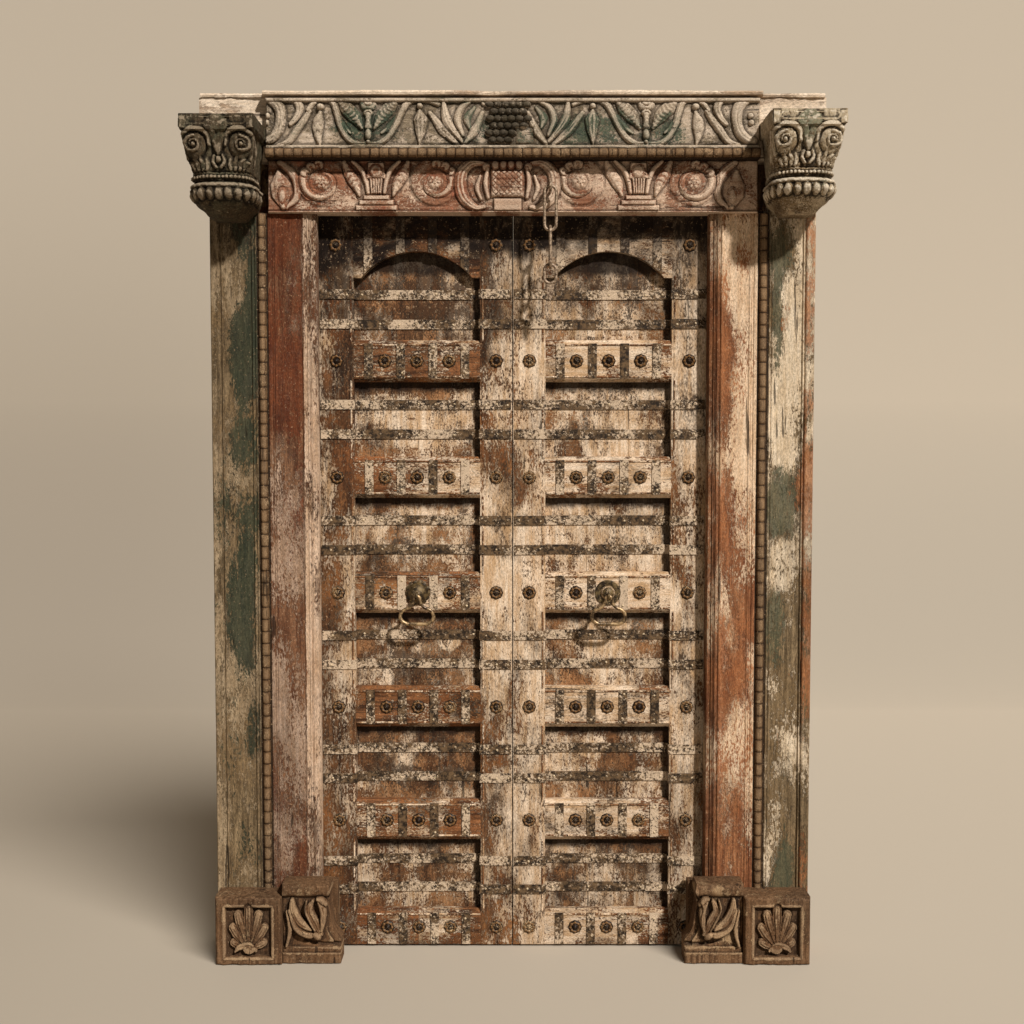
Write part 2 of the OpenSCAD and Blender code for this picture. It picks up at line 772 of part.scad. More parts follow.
color(BRASS) in_leaf(right) ring();  // right_ring
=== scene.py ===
import json
import math
import time
import bmesh
import bpy
import numpy as np
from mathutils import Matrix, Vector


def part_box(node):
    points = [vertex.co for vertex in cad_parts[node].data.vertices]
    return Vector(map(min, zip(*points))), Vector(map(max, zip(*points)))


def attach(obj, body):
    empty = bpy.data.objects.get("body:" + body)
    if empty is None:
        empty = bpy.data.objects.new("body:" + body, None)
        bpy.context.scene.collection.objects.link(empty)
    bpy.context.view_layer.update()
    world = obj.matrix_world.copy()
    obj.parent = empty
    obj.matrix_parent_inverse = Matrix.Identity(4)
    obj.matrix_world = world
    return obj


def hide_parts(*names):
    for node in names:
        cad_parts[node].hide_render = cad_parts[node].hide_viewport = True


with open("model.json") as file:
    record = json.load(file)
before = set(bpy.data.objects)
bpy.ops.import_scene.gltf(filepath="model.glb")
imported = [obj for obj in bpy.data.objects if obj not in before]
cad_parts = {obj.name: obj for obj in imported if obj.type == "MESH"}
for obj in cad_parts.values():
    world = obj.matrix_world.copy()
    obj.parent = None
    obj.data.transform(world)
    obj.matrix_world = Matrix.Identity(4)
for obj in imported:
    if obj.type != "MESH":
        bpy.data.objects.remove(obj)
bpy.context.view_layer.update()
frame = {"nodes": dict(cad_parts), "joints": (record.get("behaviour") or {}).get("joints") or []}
node = frame["nodes"]
scene = bpy.context.scene
started = time.time()


def report(words):
    print(f"{words} ({time.time() - started:.0f} s)")


def corners(name):
    low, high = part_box(name)
    return np.array(low), np.array(high)


def millimetres(name):
    low, high = corners(name)
    return low * 1000, high * 1000


# colours and shader nodes

def tint(red, green, blue):
    # a screen colour of 0 to 255 as the linear colour that a shader wants
    linear = [((c / 255 + 0.055) / 1.055) ** 2.4 if c > 10 else c / 255 / 12.92 for c in (red, green, blue)]
    return tuple(linear) + (1.0,)


class Shader:
    # a material under construction; every call adds one node and gives back its output

    def __init__(self, name):
        self.material = bpy.data.materials.new(name)
        self.material.use_nodes = True
        self.tree = self.material.node_tree
        self.bsdf = self.tree.nodes["Principled BSDF"]
        self.place = self.add("ShaderNodeTexCoord").outputs["Object"]
        self.axes = self.add("ShaderNodeSeparateXYZ", self.place).outputs

    def add(self, kind, *wires, **fixed):
        made = self.tree.nodes.new(kind)
        for key, value in fixed.items():
            setattr(made, key, value)
        for i, wire in enumerate(wires):
            self.join(wire, made.inputs[i])
        return made

    def join(self, wire, socket):
        if wire is None:
            return
        if isinstance(wire, bpy.types.NodeSocket):
            self.tree.links.new(wire, socket)
        else:
            socket.default_value = wire

    def sum(self, a, b, kind="ADD"):
        return self.add("ShaderNodeMath", a, b, operation=kind).outputs[0]

    def times(self, a, b):
        return self.sum(a, b, "MULTIPLY")

    def ramp(self, value, low, high, start=0.0, end=1.0):
        made = self.add("ShaderNodeMapRange", value, low, high, start, end, clamp=True)
        made.interpolation_type = "SMOOTHSTEP"
        return made.outputs[0]

    def stretched(self, scale, turn=(0, 0, 0), shift=(0, 0, 0)):
        return self.add("ShaderNodeMapping", self.place, shift, turn, scale).outputs[0]

    def noise(self, where, scale, detail=6.0, rough=0.6, distortion=0.0):
        made = self.add("ShaderNodeTexNoise", noise_dimensions="3D")
        self.join(where, made.inputs["Vector"])
        for key, value in (("Scale", scale), ("Detail", detail), ("Roughness", rough),
                           ("Distortion", distortion)):
            made.inputs[key].default_value = value
        return made.outputs[0]

    def spot(self, x, z, rx, rz):
        # 1 at a point of the front, falling to 0 on an ellipse round it
        across = self.sum(self.times(self.sum(self.axes[0], -x), 1 / rx), 2.0, "POWER")
        up = self.sum(self.times(self.sum(self.axes[2], -z), 1 / rz), 2.0, "POWER")
        return self.sum(self.sum(1.0, self.sum(across, up), "SUBTRACT"), 0.0, "MAXIMUM")

    def blend(self, amount, below, above, kind="MIX"):
        made = self.add("ShaderNodeMix", data_type="RGBA", blend_type=kind)
        self.join(amount, made.inputs[0])
        self.join(below, made.inputs[6])
        self.join(above, made.inputs[7])
        return made.outputs[2]

    def attribute(self, name):
        return self.add("ShaderNodeAttribute", attribute_name=name).outputs["Fac"]

    def finish(self, colour, rough, height=None, depth=0.0006, metal=0.0):
        self.join(colour, self.bsdf.inputs["Base Color"])
        self.join(rough, self.bsdf.inputs["Roughness"])
        self.bsdf.inputs["Metallic"].default_value = metal
        if height is not None:
            bump = self.add("ShaderNodeBump")
            bump.inputs["Strength"].default_value = 1.0
            bump.inputs["Distance"].default_value = depth
            self.join(height, bump.inputs["Height"])
            self.tree.links.new(bump.outputs[0], self.bsdf.inputs["Normal"])
        return self.material


# how the rails and straps repeat up a leaf, in metres
leafPitch = {"rails": 0.3075, "half": 0.15375, "firstRail": 0.3470, "firstPair": 0.1935,
             "pairOff": 0.1537, "strapOff": 0.039}


def strapDistance(s):
    # how far a point is from the nearest cross strap: they come in pairs, at an even pitch up the leaf
    turn = s.sum(s.times(s.sum(s.axes[2], -leafPitch["firstPair"]), 1 / leafPitch["rails"]), None, "FRACT")
    off = s.times(s.sum(s.sum(turn, -0.5), None, "ABSOLUTE"), leafPitch["rails"])
    off = s.sum(off, leafPitch["pairOff"], "SUBTRACT")
    return s.sum(s.sum(s.sum(off, None, "ABSOLUTE"), leafPitch["strapOff"], "SUBTRACT"), None, "ABSOLUTE")


def railShadeOf(s, tornSpace):
    # painted shadow on the boards, under each rail and beside the stile that would cast it, with a ragged
    # edge
    turn = s.sum(s.axes[2], -leafPitch["firstRail"] + leafPitch["half"])
    turn = s.sum(s.times(turn, 1 / leafPitch["rails"]), None, "FRACT")
    far = s.times(s.sum(s.sum(turn, -0.5), None, "ABSOLUTE"), leafPitch["rails"])
    ragged = s.times(s.sum(s.noise(tornSpace, 40, 4, 0.7), -0.5), 0.03)
    under = s.times(s.ramp(s.sum(far, ragged), 0.070, 0.090, 1.0, 0.0), s.ramp(turn, 0.49, 0.51, 1.0, 0.0))
    left = s.ramp(s.sum(s.axes[0], ragged), -0.110, -0.100)
    left = s.times(left, s.ramp(s.axes[0], -0.08, -0.07, 1.0, 0.0))
    beside = s.sum(left, s.ramp(s.sum(s.axes[0], ragged), 0.397, 0.407))
    under = s.sum(under, s.times(beside, 0.85), "MAXIMUM")
    return s.times(under, s.ramp(s.axes[1], 0.118, 0.122, 1.0, 0.0))  # the boards' fronts only


woodHabit = {  # what every wood does unless its own settings say otherwise
    "along": 2, "squeeze": 0.07, "torn": 0.4, "shift": (0, 0, 0), "grain": 120, "dirt": 0.35, "scuffs": 0.35,
    "stainsAndShade": (), "ragged": 0.12, "carved": False, "creviceShade": 0.85, "rub": 0.4, "gritty": 0.8,
    "flecks": 0.45, "shine": 0.16, "relief": 0.0012,
}


def layFilm(s, look, layer, colour, height, noises):
    # a film shows where its noise, with the zones and spots that favour it, passes a level; its edge is dark
    torn, tornSpace, grain, speckle, tile = noises
    seed = layer["seed"]
    space = s.stretched(torn, shift=(seed, seed * 1.7, seed * 0.6))
    patch = s.noise(space, layer["patch"], 9, 0.68, 0.35)
    cover = s.sum(s.sum(patch, tile), s.times(s.sum(speckle, -0.5), layer["speckle"]))
    for axis, low, high, amount in layer["zones"]:
        cover = s.sum(cover, s.ramp(s.axes[axis], low, high, 0.0, amount))
    for x, z, rx, rz, amount in layer["spots"]:
        cover = s.sum(cover, s.times(s.spot(x, z, rx, rz), amount))
    if "bands" in layer:
        cover = s.sum(cover, s.times(s.ramp(strapDistance(s), 0.012, 0.045, 1.0, 0.0), layer["bands"]))
    if "follow" in layer:
        cover = s.sum(cover, s.times(s.attribute("paint"), layer["follow"]))
    if "high" in layer:  # rubbed off what stands high and left in the hollows, or the reverse
        cover = s.sum(cover, s.times(s.attribute("high"), layer["high"]))
    edge, at = layer["edge"], layer["at"]
    film = s.ramp(cover, at - edge, at + edge)
    rim = s.ramp(cover, at - edge * 3.2, at - edge * 0.5)
    dark = s.times(rim, layer["rim"])
    colour = s.blend(s.times(dark, s.sum(1.0, film, "SUBTRACT")), colour, look["sootAndShade"])
    weather = s.sum(s.times(grain, 0.5), s.times(s.noise(tornSpace, 26, 5, 0.75), 0.5))
    shade = s.blend(s.ramp(weather, 0.38, 0.62), layer["colour"], layer["faded"])
    colour = s.blend(s.times(film, layer["dense"]), colour, shade)
    return colour, s.sum(height, s.times(film, layer["thick"]))


def soil(s, look, colour, tornSpace, speckle, tone):
    # scuffs and dirt where their noise is high, and stains that grow along an axis with a ragged front; some
    # of these stains are painted shade, such as the lintel's shadow across the top of the leaves
    scuff = s.ramp(s.noise(tornSpace, 60, 7, 0.8), 0.56, 0.70)
    colour = s.blend(s.times(scuff, look["scuffs"]), colour, look["sootAndShade"])
    dirt = s.sum(s.noise(tornSpace, 4.2, 8, 0.7), s.times(s.sum(speckle, -0.5), 0.45))
    colour = s.blend(s.times(s.ramp(dirt, 0.50, 0.64), look["dirt"]), colour, look["sootAndShade"])
    for axis, low, high, amount in look["stainsAndShade"]:
        mark = s.ramp(s.sum(s.axes[axis], s.times(s.sum(tone, -0.5), look["ragged"])), low, high)
        mark = s.times(mark, s.ramp(s.noise(tornSpace, 30, 6, 0.7), 0.3, 0.62, 0.35, 1.0))
        colour = s.blend(s.times(mark, amount), colour, look["sootAndShade"])
    return colour


def wearCarving(s, look, colour, speckle):
    # painted shade in the hollows, and bare wood on what stands high, both broken up by the speckle
    hollow = s.ramp(s.sum(s.attribute("hollow"), s.times(s.sum(speckle, -0.5), 0.7)), 0.3, 1.0)
    colour = s.blend(s.times(hollow, look["creviceShade"]), colour, look["sootAndShade"])
    rub = s.ramp(s.sum(s.attribute("high"), s.times(s.sum(speckle, -0.5), 0.8)), 0.55, 0.95)
    rub = s.times(rub, s.ramp(s.attribute("paint"), -0.9, -0.3))
    return s.blend(s.times(rub, look["rub"]), colour, look["bare"])


def paintedWood(name, own):
    # old wood: grain, then films of paint laid over each other, each with torn edges, then dirt and wear
    look = {**woodHabit, **own}
    s = Shader(name)
    squeeze = [1.0, 1.0, 1.0]
    squeeze[look["along"]] = look["squeeze"]
    torn = [1.0, 1.0, 1.0]
    torn[look["along"]] = look["torn"]
    grainSpace = s.stretched(squeeze, shift=look["shift"])
    tornSpace = s.stretched(torn, shift=look["shift"])
    grain = s.noise(grainSpace, look["grain"], 5, 0.7)
    fibre = s.noise(grainSpace, 520, 2, 0.6)
    tone = s.noise(s.place, 5.0, 3, 0.55)
    colour = s.blend(s.ramp(grain, 0.36, 0.66), look["dark"], look["pale"])
    colour = s.blend(s.times(s.ramp(tone, 0.35, 0.7), 0.6), colour, look["warm"])
    height = s.sum(s.times(grain, 0.55), s.times(fibre, 0.25))
    speckle = s.noise(tornSpace, 210, 4, 0.75)
    tile = 0.0
    if "tiles" in look:  # squares between the straps have aged each in its own way
        across, up, amount = look["tiles"]
        space = s.stretched((1 / across, 1, 1 / up))
        square = s.add("ShaderNodeVectorMath", space, operation="FLOOR").outputs[0]
        tile = s.times(s.sum(s.add("ShaderNodeTexWhiteNoise", square).outputs[0], -0.5), amount)
    for layer in look["paint"]:
        colour, height = layFilm(s, look, layer, colour, height, (torn, tornSpace, grain, speckle, tile))
    colour = soil(s, look, colour, tornSpace, speckle, tone)
    if look["carved"]:
        colour = wearCarving(s, look, colour, speckle)
    grit = s.noise(tornSpace, 330, 3, 0.85)
    shade = s.add("ShaderNodeCombineColor", *[s.ramp(grit, 0.34, 0.66, 0.52, 1.22)] * 3).outputs[0]
    colour = s.blend(look["gritty"], colour, s.blend(1.0, colour, shade, "MULTIPLY"))
    height = s.sum(height, s.times(grit, 0.5))
    fleck = s.ramp(s.noise(s.place, 170, 3, 0.7), 0.62, 0.68)
    colour = s.blend(s.times(fleck, look["flecks"]), colour, look["bare"])
    # painted shadow on the boards under the rails and beside the stiles
    if "railShade" in look:
        colour = s.blend(s.times(railShadeOf(s, tornSpace), look["railShade"]), colour, look["sootAndShade"])
    cracks = s.ramp(s.noise(grainSpace, 46, 3, 0.6), 0.66, 0.70)
    colour = s.blend(s.times(cracks, 0.75), colour, look["sootAndShade"])
    height = s.sum(height, s.times(cracks, -1.2))
    rough = s.ramp(tone, 0.3, 0.7, 0.72, 0.9)
    s.bsdf.inputs["Specular IOR Level"].default_value = look["shine"]
    return s.finish(colour, rough, height, look["relief"])


filmHabit = {"dense": 0.92, "edge": 0.03, "rim": 0.35, "zones": (), "spots": ()}


def film(fresh, faded, at, patch, speckle, seed, thick, **more):
    # settings of one film: its two colours, the level it shows at, how fine its patches and flecks are
    # zones are (axis, from, to, amount), spots are (x, z, half width, half height, amount)
    return {**filmHabit, "colour": tint(*fresh), "faded": tint(*faded), "at": at, "patch": patch,
            "speckle": speckle, "seed": seed, "thick": thick, **more}


# a dark for soot and dirt, also used as painted shade in hollows, under the rails and under the lintel
sootAndShade = tint(26, 16, 9)
metalHabit = {"scale": 160, "fleck": 150, "torn": (1, 1, 1), "drift": 0.45, "soft": 0.022, "smooth": 0.4,
              "dull": 0.7, "shine": 0.5, "bump": 0.0005, "metal": 0.6}


def oldMetal(name, own):
    # iron or brass: a base with a crust and, where it lies on wood, specks of paint
    look = {**metalHabit, **own}
    s = Shader(name)
    crust = s.noise(s.place, look["scale"], 6, 0.7)
    fine = s.noise(s.place, 620, 3, 0.6)
    colour = s.blend(s.ramp(crust, 0.4, 0.62), look["dark"], look["bright"])
    height = s.sum(crust, s.times(fine, 0.4))
    if "specks" in look:
        space = s.stretched(look["torn"])
        drift, soft, at = look["drift"], look["soft"], look["at"]
        slow = s.times(s.noise(s.place, 9, 3, 0.6), drift)
        fleck = s.sum(s.sum(s.noise(space, look["fleck"], 5, 0.75), slow), (0.45 - drift) / 2)
        film = s.ramp(fleck, at - soft, at + soft)
        worn = s.blend(s.ramp(fine, 0.36, 0.62, 0.6, 0.0), look["specks"], look["bright"])
        colour = s.blend(film, colour, worn)
        height = s.sum(height, s.times(film, 0.8))
    if "shade" in look:  # painted shade under the lintel, where its shadow falls
        colour = s.blend(s.times(s.ramp(s.axes[2], *look["shade"]), 0.8), colour, sootAndShade)
    if "worn" in look:
        rub = s.sum(s.attribute("high"), s.times(s.sum(crust, -0.5), 1.2))
        colour = s.blend(s.ramp(rub, 0.35, 0.75), colour, look["worn"])
    rough = s.ramp(crust, 0.35, 0.65, look["smooth"], look["dull"])
    s.bsdf.inputs["Specular IOR Level"].default_value = look["shine"]
    return s.finish(colour, rough, height, look["bump"], look["metal"])


cream = (236, 212, 184), (190, 154, 114)

leafLook = {
    "dark": tint(54, 33, 18), "pale": tint(140, 98, 64), "warm": tint(124, 74, 40),
    "bare": tint(200, 170, 134), "sootAndShade": sootAndShade, "dirt": 0.34, "scuffs": 0.40, "ragged": 0.3, "grain": 90,
    # the first stain darkens the top of the leaves; the second and third are painted shadow, the lintel's
    # shadow across the leaves' top; the last two darken the leaves towards the bottom and towards the left
    # leaf's hinge side
    "stainsAndShade": [(2, 1.70, 1.90, 0.42), (2, 1.84, 1.885, 0.95), (2, 1.85, 1.89, 0.9), (2, 0.75, 0.0, 0.25),
               (0, -0.36, -0.52, 0.3)],
    "paint": [
        film((168, 116, 70), (132, 78, 40), 0.50, 8, 0.5, 4.1, 0.3, dense=0.85, edge=0.05),
        film(*cream, 0.562, 9, 0.8, 1.3, 0.9, edge=0.04, rim=0.35, bands=0.05,
             zones=[(2, 0.45, 0.8, 0.03), (2, 1.35, 1.15, 0.03), (0, -0.09, -0.05, 0.05),
                    (0, -0.06, 0.1, 0.03)],
             spots=[(-0.046, 1.15, 0.07, 0.55, 0.11), (-0.046, 0.4, 0.07, 0.3, 0.05),
                    (0.046, 0.45, 0.07, 0.35, -0.05), (0.25, 1.577, 0.22, 0.08, 0.20),
                    (0.25, 0.65, 0.22, 0.08, 0.14), (0.25, 0.95, 0.2, 0.3, 0.03),
                    (0.465, 1.70, 0.06, 0.3, 0.17), (-0.25, 0.05, 0.2, 0.07, 0.09),
                    (0.25, 0.05, 0.2, 0.07, 0.05), (-0.046, 1.62, 0.05, 0.24, 0.08),
                    (0.25, 1.27, 0.2, 0.07, 0.08)]),
        film((36, 24, 14), (62, 40, 22), 0.65, 12, 0.7, 6.9, -0.2, dense=0.9, edge=0.05, bands=0.06,
             zones=[(2, 1.50, 1.85, 0.06)],
             spots=[(-0.46, 1.7, 0.08, 0.25, 0.08), (-0.07, 1.72, 0.08, 0.2, 0.05),
                    (-0.25, 0.66, 0.3, 0.2, 0.03)]),
    ],
}
flatPaint = [
    film((184, 138, 96), (142, 94, 56), 0.47, 9, 0.7, 3.6, 0.3, dense=0.9, edge=0.04),
    film(*cream, 0.55, 10, 0.75, 7.7, 0.8, edge=0.04, rim=0.35, bands=0.06, zones=[(0, -0.1, 0.1, 0.03)],
         spots=[(-0.25, 1.42, 0.25, 0.12, 0.11), (-0.25, 1.13, 0.2, 0.1, 0.04),
                (0.25, 1.1, 0.22, 0.42, 0.13), (0.25, 1.45, 0.2, 0.14, 0.07),
                (0.25, 1.72, 0.22, 0.12, 0.05), (-0.17, 0.83, 0.035, 0.03, 0.5),
                (0.21, 0.53, 0.03, 0.02, 0.5)]),
    film((40, 26, 15), (74, 48, 29), 0.64, 15, 0.95, 2.9, -0.2, dense=0.9, edge=0.03, bands=0.07,
         spots=[(-0.25, 1.72, 0.22, 0.14, 0.12), (0.25, 1.76, 0.2, 0.12, 0.10),
                (-0.25, 0.80, 0.2, 0.12, 0.10), (-0.25, 0.5, 0.2, 0.12, 0.15),
                (0.25, 0.5, 0.16, 0.08, 0.05)]),
]
leafUpright = paintedWood("leafUprightWood", leafLook)
leafLevel = paintedWood("leafLevelWood", {
    **leafLook, "along": 0, "torn": 0.6, "pale": tint(160, 106, 66), "warm": tint(138, 82, 44),
    "tiles": (0.0848, 0.3075, 0.19)})
leafBoard = paintedWood("leafBoardWood", {
    **leafLook, "paint": flatPaint, "torn": 0.6, "scuffs": 0.38, "shift": (0.4, 0, 0.2), "railShade": 0.9,
    "tiles": (0.11, 0.0974, 0.10)})

strapIron = oldMetal("strapIron", {
    "dark": tint(34, 25, 16), "bright": tint(100, 78, 54), "specks": tint(206, 182, 154), "at": 0.772,
    "fleck": 240, "torn": (0.7, 1, 0.7), "soft": 0.05, "drift": 0.9, "scale": 90, "metal": 0.0,
    "shine": 0.18, "smooth": 0.6, "dull": 0.85, "shade": (1.83, 1.89)})
rosetteIron = oldMetal("rosetteIron", {
    "dark": tint(18, 10, 5), "bright": tint(44, 27, 14), "worn": tint(120, 86, 50),
    "specks": tint(204, 172, 130), "at": 0.81, "fleck": 300, "scale": 260, "metal": 0.1, "shine": 0.25,
    "smooth": 0.4, "dull": 0.65, "shade": (1.83, 1.90)})
paleNail = oldMetal("paleNail", {
    "dark": tint(80, 62, 44), "bright": tint(132, 108, 80), "specks": tint(206, 184, 150), "at": 0.70,
    "fleck": 90, "metal": 0.1, "smooth": 0.5, "dull": 0.8})
filletWood = paintedWood("filletWood", {**leafLook, "torn": 0.8, "stainsAndShade": [(2, 1.60, 1.88, 0.6)], "paint": [
    film(*cream, 0.53, 16, 0.8, 5.7, 0.4)]})
forgedIron = oldMetal("forgedIron", {
    "dark": tint(92, 72, 54), "bright": tint(176, 152, 126), "metal": 0.35, "smooth": 0.35, "dull": 0.6})
agedBrass = oldMetal("agedBrass", {
    "dark": tint(38, 28, 15), "bright": tint(104, 84, 50), "metal": 0.4, "smooth": 0.42, "dull": 0.62,
    "scale": 60, "specks": tint(178, 150, 114), "at": 0.90, "fleck": 200, "bump": 0.00015})
domeBrass = oldMetal("domeBrass", {
    "dark": tint(92, 72, 50), "bright": tint(160, 132, 98), "metal": 0.2, "smooth": 0.45, "dull": 0.65,
    "scale": 150, "specks": tint(216, 188, 156), "at": 0.80, "fleck": 200, "bump": 0.00015})
ringBrass = oldMetal("ringBrass", {
    "dark": tint(64, 48, 31), "bright": tint(176, 146, 106), "metal": 0.5, "smooth": 0.28, "dull": 0.45,
    "scale": 60, "bump": 0.0001})

bareLook = {
    "dark": tint(72, 48, 28), "pale": tint(128, 98, 70), "warm": tint(104, 74, 48),
    "bare": tint(160, 132, 102), "sootAndShade": sootAndShade, "paint": [
        film((176, 148, 112), (150, 118, 84), 0.62, 14, 0.4, 3.3, 0.2, dense=0.7, high=0.12)],
}
footWood = paintedWood("footWood", {**bareLook, "carved": True, "torn": 0.8, "creviceShade": 0.62, "rub": 0.45})
hiddenWood = paintedWood("hiddenWood", bareLook)

greyOuter = {
    "dark": tint(84, 68, 46), "pale": tint(138, 116, 86), "warm": tint(116, 92, 62),
    "bare": tint(176, 146, 112), "sootAndShade": sootAndShade, "dirt": 0.3, "scuffs": 0.35,
}
leftOuter = paintedWood("leftOuterPaint", {**greyOuter, "stainsAndShade": [(2, 1.5, 1.95, 0.25)], "paint": [
    film((172, 150, 120), (136, 114, 86), 0.53, 9, 0.7, 2.2, 0.3, dense=0.8,
         zones=[(0, -0.755, -0.775, 0.06)]),
    film((38, 46, 34), (62, 64, 46), 0.65, 8, 0.8, 5.9, 0.4, edge=0.03, rim=0.0,
         spots=[(-0.700, 1.92, 0.07, 0.10, 0.32), (-0.672, 1.77, 0.03, 0.10, 0.3),
                (-0.702, 1.60, 0.055, 0.17, 0.36), (-0.70, 1.36, 0.05, 0.10, 0.2),
                (-0.705, 0.92, 0.055, 0.22, 0.31), (-0.69, 1.12, 0.04, 0.16, 0.14),
                (-0.685, 0.58, 0.03, 0.12, 0.2), (-0.70, 0.3, 0.04, 0.1, 0.12)]),
    film((44, 34, 22), (64, 50, 34), 0.74, 11, 0.7, 7.3, 0.0, edge=0.05, rim=0.0,
         spots=[(-0.685, 0.72, 0.03, 0.14, 0.22), (-0.72, 1.9, 0.07, 0.1, 0.2),
                (-0.74, 1.2, 0.02, 0.3, 0.1)])]})
rightOuter = paintedWood("rightOuterPaint", {**greyOuter, "paint": [
    film((222, 202, 174), (196, 172, 140), 0.46, 8, 0.6, 8.4, 0.5, zones=[(2, 1.1, 0.7, -0.12)],
         spots=[(0.71, 1.6, 0.06, 0.4, 0.06)]),
    film((70, 72, 54), (96, 88, 64), 0.68, 6, 0.75, 6.5, 0.4, edge=0.04, rim=0.0,
         zones=[(0, 0.75, 0.765, -0.3)],
         spots=[(0.70, 1.86, 0.05, 0.10, 0.2), (0.69, 1.6, 0.022, 0.24, 0.28),
                (0.71, 1.2, 0.07, 0.13, 0.46), (0.695, 0.86, 0.05, 0.16, 0.34),
                (0.70, 0.45, 0.05, 0.3, 0.14), (0.72, 0.22, 0.04, 0.1, 0.2)]),
    film((140, 84, 48), (160, 104, 64), 0.72, 9, 0.5, 1.1, 0.2, dense=0.8, zones=[(0, 0.755, 0.762, 0.2)],
         spots=[(0.755, 1.30, 0.02, 0.25, 0.16), (0.74, 0.75, 0.03, 0.1, 0.12),
                (0.71, 1.66, 0.02, 0.08, 0.16)])]})
leftInner = paintedWood("leftInnerPaint", {
    "dark": tint(76, 46, 29), "pale": tint(136, 98, 70), "warm": tint(108, 66, 42),
    "bare": tint(190, 152, 118),
    "sootAndShade": sootAndShade, "dirt": 0.3, "scuffs": 0.3, "stainsAndShade": [(2, 1.6, 1.95, 0.2)], "paint": [
        film((176, 150, 128), (148, 120, 96), 0.57, 6, 0.75, 9.1, 0.4, zones=[(2, 1.50, 1.0, 0.10)]),
        film((82, 38, 19), (112, 60, 33), 0.56, 5, 0.7, 2.6, 0.3, rim=0.1,
             zones=[(2, 1.2, 1.55, 0.12), (0, -0.552, -0.542, -0.15)],
             spots=[(-0.60, 1.0, 0.03, 0.25, 0.05), (-0.59, 0.62, 0.03, 0.12, 0.05)]),
        film((206, 178, 152), (180, 148, 118), 0.8, 7, 0.5, 3.9, 0.4,
             zones=[(0, -0.549, -0.542, 0.34), (2, 1.5, 1.85, -0.10)])]})
rightInner = paintedWood("rightInnerPaint", {
    "dark": tint(104, 62, 38), "pale": tint(164, 112, 74), "warm": tint(136, 80, 50),
    "bare": tint(196, 160, 124),
    "sootAndShade": sootAndShade, "dirt": 0.22, "scuffs": 0.25, "ragged": 0.004, "stainsAndShade": [(0, 0.548, 0.530, 0.5)],
    "paint": [
        film((230, 202, 170), (204, 170, 134), 0.50, 5.5, 0.6, 4.6, 0.5,
             spots=[(0.60, 1.82, 0.08, 0.18, 0.24), (0.62, 1.45, 0.06, 0.4, 0.17),
                    (0.61, 0.7, 0.05, 0.3, 0.05)]),
        film((136, 80, 46), (164, 106, 66), 0.61, 6.5, 0.75, 7.2, 0.2, rim=0.1,
             zones=[(0, 0.575, 0.548, 0.09), (2, 1.0, 0.7, 0.02)],
             spots=[(0.60, 1.84, 0.05, 0.05, 0.10), (0.60, 1.15, 0.04, 0.14, 0.08),
                    (0.60, 0.8, 0.04, 0.14, 0.05)])]})

bleachedLook = {
    "dark": tint(172, 144, 116), "pale": tint(210, 188, 164), "warm": tint(196, 168, 140),
    "bare": tint(224, 204, 180),
    "sootAndShade": tint(52, 36, 24), "dirt": 0.06, "scuffs": 0.1, "along": 0, "paint": [
        film((228, 208, 184), (206, 182, 154), 0.45, 8, 0.3, 6.1, 0.4)]}
beamWood = paintedWood("beamWood", bleachedLook)
capWood = paintedWood("capBoardWood", {**bleachedLook, "shift": (0.3, 0.1, 0.4)})

greenFrieze = paintedWood("upperFriezePaint", {
    "dark": tint(92, 78, 58), "pale": tint(160, 142, 118), "warm": tint(134, 116, 92),
    "bare": tint(200, 182, 158),
    "sootAndShade": tint(30, 24, 16), "dirt": 0.18, "scuffs": 0.3, "along": 0, "torn": 0.8, "carved": True,
    "creviceShade": 0.6, "rub": 0.5, "paint": [
        film((204, 184, 162), (168, 148, 124), 0.50, 12, 0.7, 5.3, 0.4, high=0.05,
             zones=[(0, 0.0, 0.3, 0.06)]),
        film((44, 62, 50), (72, 82, 62), 0.68, 9, 0.6, 1.9, 0.3, edge=0.05, rim=0.1, follow=0.2,
             spots=[(-0.37, 2.17, 0.12, 0.08, 0.22), (-0.085, 2.15, 0.06, 0.06, 0.2),
                    (0.13, 2.16, 0.08, 0.08, 0.22), (0.26, 2.16, 0.10, 0.08, 0.20),
                    (0.40, 2.16, 0.09, 0.07, 0.17), (-0.53, 2.17, 0.06, 0.06, 0.10)]),
        film((36, 30, 19), (62, 54, 38), 0.82, 9, 0.5, 8.2, 0.0, edge=0.06, rim=0.0, follow=-0.5)]})
redFrieze = paintedWood("lowerFriezePaint", {
    "dark": tint(104, 62, 40), "pale": tint(172, 130, 102), "warm": tint(146, 90, 62),
    "bare": tint(222, 196, 170),
    "sootAndShade": tint(46, 26, 14), "dirt": 0.2, "scuffs": 0.25, "along": 0, "torn": 0.8, "carved": True,
    "creviceShade": 0.6, "rub": 0.6, "paint": [
        film((208, 180, 154), (180, 148, 122), 0.53, 11, 0.7, 8.8, 0.4,
             zones=[(0, -0.2, 0.3, 0.09)], follow=-0.05),
        film((134, 72, 50), (164, 104, 78), 0.62, 10, 0.6, 3.1, 0.3, rim=0.1, high=0.03, follow=0.05)]})
beadWood = paintedWood("beadWood", {
    "dark": tint(66, 45, 27), "pale": tint(124, 96, 66), "warm": tint(98, 70, 43),
    "bare": tint(176, 146, 112),
    "sootAndShade": tint(30, 20, 12), "carved": True, "dirt": 0.4, "torn": 0.9, "rub": 0.25, "flecks": 0.6,
    "paint": [
        film((176, 148, 112), (150, 120, 88), 0.62, 16, 0.7, 2.9, 0.3, dense=0.7)]})
darkCapital = paintedWood("leftCapitalPaint", {
    "dark": tint(48, 38, 26), "pale": tint(100, 84, 62), "warm": tint(76, 62, 44),
    "bare": tint(168, 150, 126),
    "sootAndShade": tint(22, 16, 9), "carved": True, "dirt": 0.4, "torn": 0.9, "rub": 0.6, "paint": [
        film((70, 68, 50), (104, 92, 72), 0.52, 10, 0.7, 1.4, 0.3)]})
